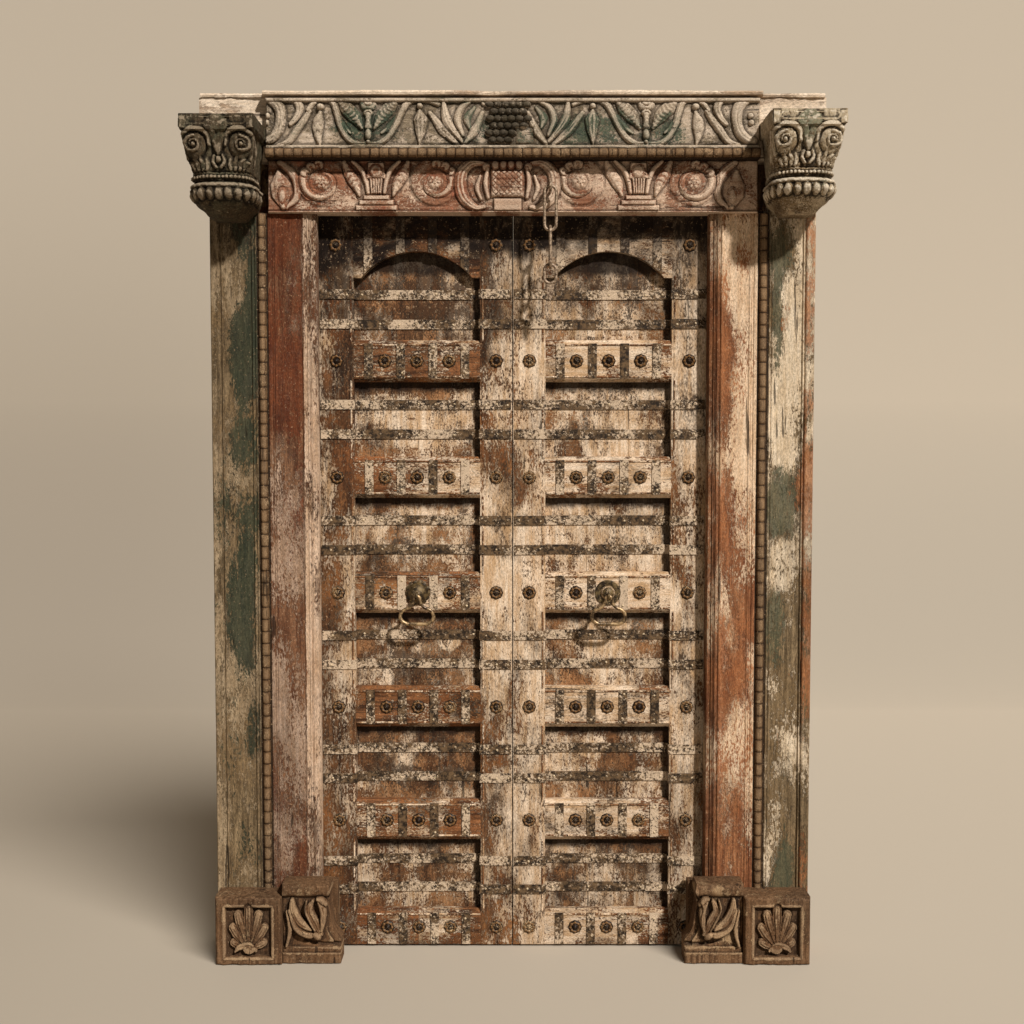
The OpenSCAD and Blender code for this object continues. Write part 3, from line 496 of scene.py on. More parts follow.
paleCapital = paintedWood("rightCapitalPaint", {
    "dark": tint(86, 66, 42), "pale": tint(156, 134, 104), "warm": tint(124, 102, 72),
    "bare": tint(222, 206, 182),
    "sootAndShade": tint(26, 18, 10), "carved": True, "dirt": 0.3, "torn": 0.9, "rub": 0.7, "paint": [
        film((204, 186, 158), (166, 146, 116), 0.50, 10, 0.7, 6.8, 0.4, zones=[(2, 2.0, 2.1, 0.05)]),
        film((84, 90, 70), (108, 110, 86), 0.68, 12, 0.6, 2.1, 0.2, dense=0.8, follow=0.22)]})
report("materials")


# carving: fields of heights over flat boards

def blurred(field, cells):
    # three box blurs in a row, along both axes
    out = field
    for _ in range(3):
        for axis in (0, 1):
            wide = np.pad(out, [(cells + 1, cells) if i == axis else (0, 0) for i in (0, 1)], mode="edge")
            total = np.cumsum(wide, axis)
            out = (np.take(total, range(2 * cells + 1, total.shape[axis]), axis)
                   - np.take(total, range(0, total.shape[axis] - 2 * cells - 1), axis)) / (2 * cells + 1)
    return out


def smoothPath(points, count=48):
    # a curve through given points: Catmull-Rom cubics
    p = np.array(points, float)
    p = np.vstack([2 * p[0] - p[1], p, 2 * p[-1] - p[-2]])
    t = np.linspace(0, len(p) - 3 - 1e-6, count)
    k = t.astype(int)
    f = (t - k)[:, None]
    a, b, c, d = p[k], p[k + 1], p[k + 2], p[k + 3]
    cubic = (3 * b - a - 3 * c + d) * f ** 3
    return 0.5 * (2 * b + (c - a) * f + (2 * a - 5 * b + 4 * c - d) * f ** 2 + cubic)


class Panel:
    # a field of heights in millimetres over a flat board: u to the right, w upwards; paint marks the tint

    def __init__(self, u0, u1, w0, w1, cell):
        self.u, self.w = np.meshgrid(np.linspace(u0, u1, int((u1 - u0) / cell) + 1),
                                     np.linspace(w0, w1, int((w1 - w0) / cell) + 1))
        self.cell = cell
        self.height = np.zeros_like(self.u)
        self.paint = np.zeros_like(self.u)

    def near(self, low, high, room):
        # the part of the grid round a feature
        u, w = self.u[0], self.w[:, 0]
        i = np.searchsorted(w, [low[1] - room, high[1] + room])
        j = np.searchsorted(u, [low[0] - room, high[0] + room])
        return slice(i[0], i[1]), slice(j[0], j[1])

    def put(self, part, inside, shape, paint, groove=1.6):
        # lay a feature over what is there; inside is 1 at its middle, 0 at its edge and negative outside
        height = self.height[part]
        edge = groove * np.exp(-((inside + 0.10) / 0.10) ** 2)
        on = inside > 0
        self.height[part] = np.where(on, np.maximum(shape, height * 0.35 + shape * 0.65), height - edge)
        self.paint[part] = np.where(on, paint, self.paint[part])

    def stem(self, points, half, height, paint=0.0, vein=0.0, ribs=0, rim=0.0, round=0.5):
        # a raised line along a curve; its section follows from a point's distance over the width there
        path = smoothPath(points)
        half = np.atleast_1d(half)
        widths = np.interp(np.linspace(0, 1, len(path)), np.linspace(0, 1, len(half)), half)
        part = self.near(path.min(0), path.max(0), widths.max() + 6)
        u, w = self.u[part], self.w[part]
        if u.size == 0:
            return
        a, b = path[:-1], path[1:]
        run = b - a
        span = (run ** 2).sum(1) + 1e-9
        du, dw = u[..., None] - a[:, 0], w[..., None] - a[:, 1]
        t = np.clip((du * run[:, 0] + dw * run[:, 1]) / span, 0, 1)
        far = np.hypot(du - t * run[:, 0], dw - t * run[:, 1])
        k = far.argmin(-1)
        pick = np.take_along_axis
        d = pick(far, k[..., None], -1)[..., 0]
        along = (k + pick(t, k[..., None], -1)[..., 0]) / (len(path) - 1)
        width = np.interp(along, np.linspace(0, 1, len(path)), widths)
        inside = 1 - d / width
        shape = height * np.clip(1 - (d / width) ** 2, 0, 1) ** round
        if vein:
            shape = shape - vein * np.exp(-(d / 1.7) ** 2)
        if ribs:
            wave = 0.5 + 0.5 * np.cos(2 * np.pi * (ribs * along - 0.5 * d / width))
            shape = shape - 1.6 * wave * np.clip(3 * inside, 0, 1)
        if rim:
            shape = shape - rim * np.exp(-((d / width - 0.62) / 0.12) ** 2)
        self.put(part, inside, shape, paint)

    def dome(self, u0, w0, ru, rw, height, paint=0.0, petals=0, hole=0.0, flat=0.5):
        # a rounded boss; petals cut it into a flower, hole sinks its middle
        part = self.near((u0 - ru, w0 - rw), (u0 + ru, w0 + rw), 6)
        x, y = (self.u[part] - u0) / ru, (self.w[part] - w0) / rw
        r = np.hypot(x, y)
        inside = 1 - r
        shape = height * np.clip(1 - r ** 2, 0, 1) ** flat
        if petals:
            turn = np.arctan2(y, x)
            shape = shape * (0.72 + 0.28 * np.abs(np.cos(petals * turn / 2)))
            shape = shape - 1.8 * np.exp(-((r - 0.34) / 0.07) ** 2)
        if hole:
            shape = shape - hole * np.exp(-(r / 0.42) ** 4)
        self.put(part, inside, shape, paint)

    def slab(self, u0, u1, w0, w1, height, paint=0.0, lean=0.0, soft=3.0):
        # a raised flat with soft edges; lean widens it upwards
        part = self.near((u0 - abs(lean), w0), (u1 + abs(lean), w1), 6)
        u, w = self.u[part], self.w[part]
        mid, half = (u0 + u1) / 2, (u1 - u0) / 2 + lean * (w - w0) / (w1 - w0)
        edge = np.minimum(half - np.abs(u - mid), np.minimum(w - w0, w1 - w))
        inside = np.clip(edge / 12, -1, 1)
        self.put(part, inside, height * np.clip(edge / soft, 0, 1) ** 0.6, paint)

    def cut(self, points, half, depth):
        # a carved line
        path = smoothPath(points)
        part = self.near(path.min(0), path.max(0), half * 3)
        far = np.hypot(self.u[part][..., None] - path[:, 0], self.w[part][..., None] - path[:, 1]).min(-1)
        self.height[part] -= depth * np.exp(-(far / half) ** 2)

    def volute(self, u0, w0, radius, band, height, start, turns, way=1, paint=0.0):
        # a scroll: a band along a spiral that shrinks evenly with its angle
        turn = np.radians(start) + way * np.linspace(0, 2 * np.pi * turns, 12)
        shrink = np.linspace(1, 0.42, 12)
        path = np.stack([u0 + radius * shrink * np.cos(turn), w0 + radius * shrink * np.sin(turn)], 1)
        self.stem(path, [band, band, band * 0.9, band * 0.7, band * 0.5], height, paint, rim=1.2)


def dress(name, material):
    slots = node[name].material_slots
    for i in range(len(slots)):
        slots[i].material = material


for name in node:
    if name.startswith("chain"):
        dress(name, forgedIron)
    elif name.endswith(("cross_straps", "upright_straps")):
        dress(name, strapIron)
    elif name.endswith("rosettes"):
        dress(name, rosetteIron)
    elif "_ring" in name:
        dress(name, agedBrass)
    elif name.endswith(("hinge_stile", "meeting_stile")):
        dress(name, leafUpright)
    elif "_board_" in name:
        dress(name, leafBoard)
    elif "_rail" in name:
        dress(name, leafLevel)
dress("left_outer_jamb", leftOuter)
dress("right_outer_jamb", rightOuter)
dress("left_inner_jamb", leftInner)
dress("right_inner_jamb", rightInner)
dress("left_capital", darkCapital)
dress("right_capital", paleCapital)
dress("upper_frieze", greenFrieze)
dress("lower_frieze", redFrieze)
dress("lintel_beam", beamWood)
dress("cap_board", capWood)
dress("head_beam", hiddenWood)
dress("bead_course", beadWood)
for side in ("left", "right"):
    dress(side + "_bead_string", beadWood)
    dress(side + "_shell_block", footWood)
    dress(side + "_leaf_block", footWood)
    dress(side + "_foot_socket", hiddenWood)


# where the pieces sit: faceY and shoulderY in metres, the rest in millimetres

faceY = corners("left_outer_jamb")[0][1]
shoulderY = corners("head_beam")[0][1]
openingHalf = corners("right_inner_jamb")[0][0] * 1000
frontTop = corners("lower_frieze")[0][2] * 1000
postIn = openingHalf + 26
ledgeZ = 26


def wander(u, w, size, seed, octaves=3):
    # soft random hills between -1 and 1: random heights on a lattice, blended between its points
    total = np.zeros(np.broadcast(u, w).shape)
    for k in range(octaves):
        grid = np.random.default_rng(seed + k).uniform(-1, 1, (64, 64))
        x, y = u / size * 2 ** k, w / size * 2 ** k
        i, j = np.floor(x).astype(int), np.floor(y).astype(int)
        f, g = x - i, y - j
        f, g = f * f * (3 - 2 * f), g * g * (3 - 2 * g)
        low = grid[i % 64, j % 64] * (1 - f) + grid[(i + 1) % 64, j % 64] * f
        top = grid[i % 64, (j + 1) % 64] * (1 - f) + grid[(i + 1) % 64, (j + 1) % 64] * f
        total = total + (low * (1 - g) + top * g) * 0.5 ** k
    return total / 1.6


def gridFaces(rows, columns, ring=False):
    # quads between the points of a grid; ring joins the last column to the first
    r, c = np.meshgrid(np.arange(rows - 1), np.arange(columns if ring else columns - 1), indexing="ij")
    after = (c + 1) % columns
    here, above = r * columns, (r + 1) * columns
    return np.stack([here + c, here + after, above + after, above + c], -1).reshape(-1, 4).tolist()


def tubeFaces(rows, columns):
    # a grid joined round to its first column, with its first and last rows closed
    first = list(range(columns))
    return gridFaces(rows, columns, ring=True) + [first[::-1], [(rows - 1) * columns + k for k in first]]


def plainMarks(count):
    return {mark: np.zeros(count) for mark in ("high", "hollow", "paint")}


def railBoxes(side):
    return [corners(f"{side}_rail_{k}") for k in range(1, 6)] + [corners(side + "_bottom_rail")]


def addPiece(name, points, faces, material, body, instead=(), marks=None, sharp=50):
    # points in metres and faces become a piece that rides on a body; marks are numbers kept at each point
    mesh = bpy.data.meshes.new(name)
    mesh.from_pydata(np.asarray(points).reshape(-1, 3).tolist(), [], faces)
    for mark, values in (marks or {}).items():
        kept = mesh.attributes.new(mark, "FLOAT", "POINT")
        kept.data.foreach_set("value", np.asarray(values, np.float32).ravel())
    mesh.shade_smooth()
    mesh.set_sharp_from_angle(angle=math.radians(sharp))
    mesh.materials.append(material)
    piece = bpy.data.objects.new(name, mesh)
    scene.collection.objects.link(piece)
    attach(piece, body)
    if instead:
        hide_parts(*instead)
    return piece


def marksOf(height, paint=None, cells=4, depth=2.2):
    # hollow and high say how far the carving lies under or over its surroundings
    over = height - blurred(height, cells)
    return {"hollow": np.clip(-over / depth, 0, 1), "high": np.clip(over / depth, 0, 1),
            "paint": np.zeros_like(height) if paint is None else paint}


def addBoard(name, panel, at, backY, material, instead, body="frame", roundEdge=5.0):
    # the panel's heights stand out from at = (x, y, z); a skirt runs back from its border to a flat cap
    edge = np.minimum(np.minimum(panel.u - panel.u.min(), panel.u.max() - panel.u),
                      np.minimum(panel.w - panel.w.min(), panel.w.max() - panel.w))
    chip = 0.7 + 0.6 * wander(panel.u, panel.w, 23, 5)
    height = panel.height - roundEdge * np.clip(1 - edge / roundEdge / chip, 0, 1) ** 2
    front = np.stack([at[0] + panel.u / 1000, at[1] - height / 1000, at[2] + panel.w / 1000], -1)
    rows, columns = panel.u.shape
    count = rows * columns
    r, c = np.arange(rows), np.arange(columns)
    border = np.concatenate([c, r[1:] * columns + columns - 1, (rows - 1) * columns + c[-2::-1],
                             r[-2:0:-1] * columns])
    back = front.reshape(-1, 3)[border].copy()
    back[:, 1] = backY
    n = len(border)
    following = (np.arange(n) + 1) % n
    skirt = np.stack([border, count + np.arange(n), count + following, border[following]], 1)
    faces = gridFaces(rows, columns) + skirt.tolist() + [(count + np.arange(n))[::-1].tolist()]
    marks = {key: np.concatenate([value.ravel(), value.ravel()[border]])
             for key, value in marksOf(panel.height, panel.paint).items()}
    marks["hollow"][border] = 0
    marks["hollow"][count:] = 0
    return addPiece(name, np.vstack([front.reshape(-1, 3), back]), faces, material, body, instead,
                    marks)


# upper frieze: a W of stems round a lotus on each side of a heap of fruit

def carveSwag(p, place):
    # place puts a point of the left half where it belongs
    def at(*points):
        return [place(*q) for q in points]
    stem, dome = p.stem, p.dome
    stem(at((-632, 132), (-612, 122), (-596, 100), (-594, 70), (-602, 42), (-620, 24), (-636, 20)),
         [13, 15, 14, 13, 10], 11, vein=2.0, rim=1.0)
    for x, w in ((-628, 83), (-630, 66)):
        dome(*place(x, w), 8, 8, 8)
    stem(at((-578, 122), (-556, 124), (-545, 104), (-552, 80), (-568, 62)), [6, 11, 11, 9, 6], 9, vein=2.2)
    stem(at((-600, 8), (-574, 18), (-552, 48), (-533, 74), (-520, 94)), [6, 9, 10, 9, 6], 9, 0.25, vein=2.0,
         rim=1.0)
    stem(at((-492, 92), (-498, 66), (-499, 38), (-494, 10)), [5, 14, 15, 10, 3], 9, 0.2, ribs=3.4)
    stem(at((-452, 92), (-440, 62), (-416, 40)), [5, 11, 4], 5, 1.0)
    stem(at((-386, 52), (-404, 80), (-427, 104), (-448, 122)), [4, 17, 18, 5], 9, 0.35, ribs=9, rim=1.6)
    stem(at((-354, 52), (-336, 80), (-314, 104), (-296, 122)), [4, 17, 18, 5], 9, 0.35, ribs=9, rim=1.6)
    stem(at((-336, 40), (-312, 58), (-296, 84)), [4, 10, 4], 5, 0.9)
    stem(at((-524, 98), (-506, 118), (-482, 126), (-460, 118), (-449, 88), (-440, 54), (-420, 24),
            (-396, 12), (-371, 12)), [6, 8, 9, 9, 8, 8, 7], 8.5, 0.1, vein=1.8, rim=1.4)
    stem(at((-371, 12), (-345, 13), (-318, 32), (-298, 64), (-282, 98), (-264, 120), (-241, 127),
            (-214, 122), (-190, 112)), [7, 8, 8, 9, 9, 8, 6], 8.5, 0.1, vein=1.8, rim=1.4)
    dome(*place(-492, 106), 10, 9, 12)
    dome(*place(-370, 113), 22, 20, 10, 0.5)
    dome(*place(-370, 116), 12, 9, 13, 0.0, hole=4)
    dome(*place(-370, 90), 13, 9, 12)
    stem(at((-370, 84), (-370, 56)), [9, 7, 10], 10, ribs=3)
    dome(*place(-370, 36), 9, 15, 12)
    dome(*place(-370, 17), 6, 6, 12)
    stem(at((-238, 98), (-236, 62), (-239, 10)), [4, 19, 14, 2], 8, 0.25, rim=1.8, vein=1.6)
    dome(*place(-238, 108), 8, 8, 12)
    stem(at((-212, 90), (-178, 46), (-140, 10)), [6, 13, 5], 7, 0.1, vein=1.6, rim=1.2)
    stem(at((-178, 122), (-168, 70), (-128, 16)), [5, 13, 5], 9, 0.1, vein=1.6, rim=1.2)
    stem(at((-128, 34), (-142, 72), (-130, 104), (-106, 120)), [5, 10, 9, 4], 8, 0.3, rim=1.2)
    stem(at((-110, 52), (-116, 78), (-98, 104)), [4, 12, 4], 5, 1.0)
    stem(at((-124, 12), (-98, 46), (-78, 92)), [5, 12, 5], 8, 0.1, vein=1.6, rim=1.2)
    dome(*place(-72, 116), 10, 9, 10, hole=4)


upperFrieze = {"cell": 1.7, "field": 0.013, "heap": (-60, 38), "ball": (11.5, 9.0), "rows": 6, "down": 16,
               "rise": 18, "swell": 13, "rightStretch": 1.035, "rightShift": -42}


def makeUpperFrieze():
    # the swag as drawn and again turned over and stretched, the heap between them, and low random hills
    low, high = corners("upper_frieze")
    half, tall = high[0] * 1000, (high[2] - low[2]) * 1000
    p = Panel(-half, half, 0, tall, upperFrieze["cell"])
    p.height += 1.3 * wander(p.u, p.w, 40, 11) + 0.7 * wander(p.u, p.w, 9, 12)
    carveSwag(p, lambda x, w: (x, w))
    carveSwag(p, lambda x, w: (-x * upperFrieze["rightStretch"] + upperFrieze["rightShift"], w))
    left, right = upperFrieze["heap"]
    ru, rw = upperFrieze["ball"]
    for row in range(upperFrieze["rows"]):  # fruit like scales, each row half a step aside
        for column in range(6 - row % 2):
            x = left + (column + 0.5 * (row % 2)) * (right - left) / 5
            w = tall - upperFrieze["down"] - row * upperFrieze["rise"]
            if not (row > 3 and x > 0):  # the lower right corner stays empty
                p.dome(x + 3 * math.sin(7 * row + column), w, ru, rw, upperFrieze["swell"], -1.0, flat=0.35)
    p.slab(8, 52, 14, 54, 2, 1.2)
    for w0, w1 in ((0, 7), (tall - 8, tall)):
        p.slab(-half - 9, half + 9, w0 - 3, w1 + 3, 9)
    p.height += 0.35 * wander(p.u, p.w, 4, 17)
    addBoard("upper_frieze_carving", p, (0, low[1] + upperFrieze["field"], low[2]), high[1], greenFrieze,
             ["upper_frieze"])


# lower frieze: scrolls and vases to both sides of a latticed medallion

def carveScrolls(p, place, way):
    # from the end inwards: leaf, scroll with a flower, vase of leaves, second scroll, half of the wreath
    def at(*points):
        return [place(*q) for q in points]

    def turned(angle):
        return angle if way > 0 else 180 - angle
    stem, dome = p.stem, p.dome
    stem(at((-600, 128), (-572, 104), (-556, 72), (-560, 36), (-584, 12)), [9, 11, 11, 9, 6], 8, 0.2,
         vein=1.5, rim=1.0)
    stem(at((-604, 104), (-598, 58), (-592, 14)), [6, 26, 27, 8], 9, -0.3, rim=1.5)
    dome(*place(-594, 44), 13, 24, 11, 0.6)
    for centre, head, level in ((-493, 122, 78), (-201, 58, 80)):
        p.dome(*place(centre, level), 61, 60, 4, 0.4, flat=0.25)
        p.volute(*place(centre, level), 50, 12, 10, turned(head + 25), 0.80, way if centre < -300 else -way)
        p.dome(*place(centre, level - 2), 34, 32, 6, 0.9, flat=0.3)
        p.dome(*place(centre, level - 2), 21, 20, 11, 0.1, petals=6)
        for k in (-24, 0, 26):
            lift = math.radians(turned(head + k))
            x, w = place(centre, level)
            p.dome(x + 50 * math.cos(lift), w + 44 * math.sin(lift), 14, 13, 12, hole=5)
            p.dome(x + 40 * math.cos(lift), w + 35 * math.sin(lift), 5, 5, 2, hole=7)
    for x in (1, -1):
        def vase(*points, x=x):
            return at(*[(-352 + x * q[0], q[1]) for q in points])
        stem(vase((-82, 128), (-70, 100), (-54, 72), (-44, 44)), [6, 15, 14, 4], 9, 0.2, ribs=7, rim=1.0)
        stem(vase((-60, 130), (-38, 108), (-26, 80), (-21, 50)), [5, 7, 7, 5], 9, 0.1)
    p.slab(*sorted((place(-378, 0)[0], place(-326, 0)[0])), 84, 128, 8, 0.3, lean=-6)
    dome(*place(-352, 104), 19, 20, 12, 0.7, hole=1.5)
    for k in range(-2, 3):
        stem(at((-352 + 7 * k, 84), (-352 + 5.5 * k, 50)), [3.4, 3.0], 9, 0.2)
    for w0, w1, half in ((4, 19, 54), (18, 32, 45), (31, 44, 34)):
        x0, x1 = sorted((place(-352 - half, 0)[0], place(-352 + half, 0)[0]))
        p.slab(x0, x1, w0, w1, 7 + w0 * 0.05, 0.8)
    stem(at((-70, 124), (-104, 126), (-130, 104), (-136, 70), (-124, 34), (-96, 12), (-74, 14)),
         [5, 11, 15, 17, 15, 10, 5], 10, 0.0, vein=2.2, rim=1.8)
    dome(*place(-68, 116), 11, 11, 12)
    stem(at((-84, 92), (-92, 62), (-82, 34)), [4, 7, 4], 8, 0.2)


lowerFrieze = {"cell": 1.7, "field": 0.008, "middle": -14, "lattice": 7.5}


def makeLowerFrieze():
    # the scrolls twice, mirrored about the medallion, whose lattice is the higher of two crossed cosines
    low, high = corners("lower_frieze")
    half, tall = high[0] * 1000, (high[2] - low[2]) * 1000
    middle = lowerFrieze["middle"]
    p = Panel(-half, half, 0, tall, lowerFrieze["cell"])
    p.height += 1.2 * wander(p.u, p.w, 40, 31) + 0.6 * wander(p.u, p.w, 9, 32)
    carveScrolls(p, lambda x, w: (x, w), 1)
    carveScrolls(p, lambda x, w: (2 * middle - x, w), -1)
    p.slab(middle - 44, middle + 44, 38, 112, 10, 0.2, soft=9)
    inside = (np.abs(p.u - middle) < 38) & (np.abs(p.w - 75) < 32)
    step = 2 * np.pi / lowerFrieze["lattice"] / 1.4
    lines = np.maximum(np.cos((p.u + p.w) * step / 1.4), np.cos((p.u - p.w) * step / 1.4))
    p.height -= np.where(inside, 2.6 * np.clip(lines - 0.55, 0, 1) / 0.45, 0)
    for side in (-1, 1):
        p.stem([(middle + side * 50, 112), (middle + side * 56, 75), (middle + side * 50, 38)], [5, 8, 5], 9,
               1.0)
    for k in (-1.5, -0.5, 0.5, 1.5):
        p.dome(middle + 20 * k, 120, 11, 13, 11, 0.1)
    p.slab(middle - 36, middle + 36, 4, 36, 6, -2.0)
    p.slab(-half - 9, half + 9, -4, 4, 6)
    p.height += 0.35 * wander(p.u, p.w, 4, 37)
    addBoard("lower_frieze_carving", p, (0, low[1] + lowerFrieze["field"], low[2]), high[1], redFrieze,
             ["lower_frieze"])


def outward(piece):
    # turns every face outwards, for shapes whose sections run either way round
    mesh = bmesh.new()
    mesh.from_mesh(piece.data)
    bmesh.ops.recalc_face_normals(mesh, faces=mesh.faces)
    mesh.to_mesh(piece.data)
    mesh.free()


# strips of beads: a half-round whose radius shrinks between one bead and the next, on a flat strip

beadStrips = {"perBead": 12, "neck": 0.80, "squareness": 0.28, "around": 11}


def addBeads(name, spot, run, pitch, radius, halfWide, depth, material, instead, body="frame"):
    # spot gives a point from along, across and outwards, all in millimetres
    per = beadStrips["perBead"]
    count = max(2, round((run[1] - run[0]) / pitch))
    along = np.linspace(run[0], run[1], count * per + 1)
    phase = np.abs(np.sin(np.pi * (along - run[0]) / (run[1] - run[0]) * count)) ** beadStrips["squareness"]
    size = radius * (beadStrips["neck"] + (1 - beadStrips["neck"]) * phase)
    size = size * (1 + 0.05 * wander(along, along * 0, 30, 3))
    turn = np.linspace(0, np.pi, beadStrips["around"])
    # the section starts at the strip's back, comes round its edge and over the bead
    across = np.concatenate([[-halfWide, -halfWide], -radius * np.cos(turn), [halfWide, halfWide]])
    bead = np.concatenate([[0, 0], np.sin(turn), [0, 0]])
    base = np.concatenate([[-depth, 0], 0 * turn, [0, -depth]])
    scale = np.where(bead > 0, size[:, None] / radius, 1.0)
    wide = across * np.where(np.abs(across) < halfWide, scale, 1.0)
    out = base + bead * size[:, None] * np.where(bead > 0, 1.0, 0)
    points = spot(np.broadcast_to(along[:, None], wide.shape), wide, out) / 1000
    rows, columns = wide.shape
    high = np.broadcast_to((bead > 0.7) * 1.0, wide.shape) * phase[:, None]
    # hollow marks the necks between beads and the strip beside them, which the carved wood darkens as
    # painted shade
    hollow = np.clip(1 - phase[:, None] * 1.2, 0, 1) + (bead < 0.25)
    piece = addPiece(name, points, tubeFaces(rows, columns), material, body, instead,
                     {"high": high, "hollow": np.clip(hollow, 0, 1), "paint": 0 * wide}, sharp=40)
    outward(piece)


def makeBeads():
    # one row lies along x between the friezes, and one stands up along z on each side
    low, high = millimetres("bead_course")
    middle = (low[2] + high[2]) / 2
    addBeads("bead_course_row", lambda s, a, o: np.stack([s, low[1] + 12 - o, middle + a], -1),
             (low[0], high[0]), 24.3, 12, (high[2] - low[2]) / 2, high[1] - low[1] - 12, beadWood,
             ["bead_course"])
    for side in ("left", "right"):
        low, high = millimetres(side + "_bead_string")
        middle = (low[0] + high[0]) / 2
        front = faceY * 1000
        addBeads(side + "_bead_row", lambda s, a, o: np.stack([middle + a, front - o + 3, s], -1),
                 (low[2], high[2]), 32, 10.5, (high[0] - low[0]) / 2, high[1] - front - 4, beadWood,
                 [side + "_bead_string"])


# jambs: mouldings and sunk fields worked out across the board, the same all the way up but for wear

outerJamb = {
    "cellU": 1.5, "cellW": 9.0,
    "across": [0, 4, 5, 8, 9.5, 12, 14, 88, 90, 92, 93.5, 96, 97, 99, 103, 105, 121],
    "heights": [0, 0, -4, -4, -1, -1, -6, -6, -1, -1, -5, -5, -1, 1, 1, -0.5, -0.5]}
innerJamb = {
    "cellU": 1.5, "cellW": 9.0,
    "across": [0, 2, 3, 12, 13, 15, 16, 18, 19, 21, 22, 24, 25, 30, 32, 36, 38, 104, 106, 108, 110, 113, 115,
               118, 126],
    "heights": [-15, -15, -9, -9, -5, -5, -8, -5, -8, -5, -3, -3, -5, -5, -1, -1, -4, -4, -1, -1, -3.5, -1,
                -3.5, 0, 0]}


class Upright(Panel):
    # the same field of heights with long cells, for posts

    def __init__(self, u0, u1, w0, w1, cellU, cellW):
        self.u, self.w = np.meshgrid(np.linspace(u0, u1, int((u1 - u0) / cellU) + 1),
                                     np.linspace(w0, w1, int((w1 - w0) / cellW) + 1))
        self.height = np.zeros_like(self.u)
        self.paint = np.zeros_like(self.u)


def makeJambs():
    # height = the moulding's outline at this distance from the opening, worn down by soft upright noise
    for side, way in (("left", -1), ("right", 1)):
        for kind, look, material, slotName in (
                ("outer_jamb", outerJamb, leftOuter if way < 0 else rightOuter, "green_painted_wood"),
                ("inner_jamb", innerJamb, leftInner if way < 0 else rightInner, "red_painted_wood")):
            name = f"{side}_{kind}"
            low, high = millimetres(name)
            width = abs(high[0] - low[0]) if kind == "outer_jamb" else innerJamb["across"][-1]
            p = Upright(0, width, 0, high[2] - low[2] if kind == "outer_jamb" else frontTop - low[2],
                        look["cellU"], look["cellW"])
            inner = p.u if way > 0 else width - p.u
            profile = np.interp(inner, look["across"], look["heights"])
            worn = wander(p.u, p.w / 5, 14, 51 + way)
            p.height += profile * (1 - 0.25 * np.clip(worn, 0, 1))
            p.height += 0.9 * wander(p.u, p.w / 4, 30, 57 + way)
            dents = np.clip(wander(p.u, p.w / 2, 34, 64 + way) - 0.35, 0, 1)
            p.height += 0.5 * wander(p.u, p.w / 6, 5, 60 + way) - 2.2 * dents
            if kind == "outer_jamb":
                x0, back = low[0], high[1]
            else:
                x0 = openingHalf if way > 0 else -openingHalf - width
                back = shoulderY * 1000
            addBoard(name + "_face", p, (x0 / 1000, faceY, low[2] / 1000), back / 1000, material,
                     [name], roundEdge=4 if kind == "outer_jamb" else 2)
            if kind == "inner_jamb":
                addPost(side, way, low, high, material)


def addPost(side, way, low, high, material):
    # the plain post behind the inner field, that the leaf closes against
    outside = abs(low[0]) if way < 0 else high[0]
    x = np.array([postIn, outside, outside, postIn])
    y = np.array([shoulderY * 1000] * 2 + [high[1]] * 2)
    rows = 60
    z = np.linspace(low[2], high[2], rows)
    points = np.stack(np.broadcast_arrays(way * x, y, z[:, None]), -1) / 1000
    faces = tubeFaces(rows, 4)
    if way < 0:
        faces = [face[::-1] for face in faces]
    addPiece(side + "_jamb_post", points, faces, material, "frame",
             marks=plainMarks(rows * 4), sharp=30)


# capitals: a stack of U-shaped sections from the round foot to the square slab, carved outwards

capital = {
    "rows": 150, "columns": 230,
    "levels": [0, 3, 8, 14, 20, 25, 34, 48, 62, 72, 78, 82, 88, 94, 99, 108, 135, 160, 190, 197, 198, 203,
               206, 212, 236],
    "half": [34, 42, 47, 52, 58, 66, 72, 77, 78, 75, 72, 72, 74, 73, 71, 73, 76, 79, 82, 83, 88, 90, 92, 92,
             92],
    "out": [84, 96, 104, 114, 126, 140, 150, 158, 160, 155, 149, 151, 154, 152, 148, 152, 160, 168, 176, 178,
            184, 187, 189, 189, 189],
    "round": [36, 44, 47, 50, 54, 60, 64, 66, 64, 60, 56, 56, 55, 50, 44, 36, 24, 14, 8, 6, 5, 5, 5, 5, 5],
}


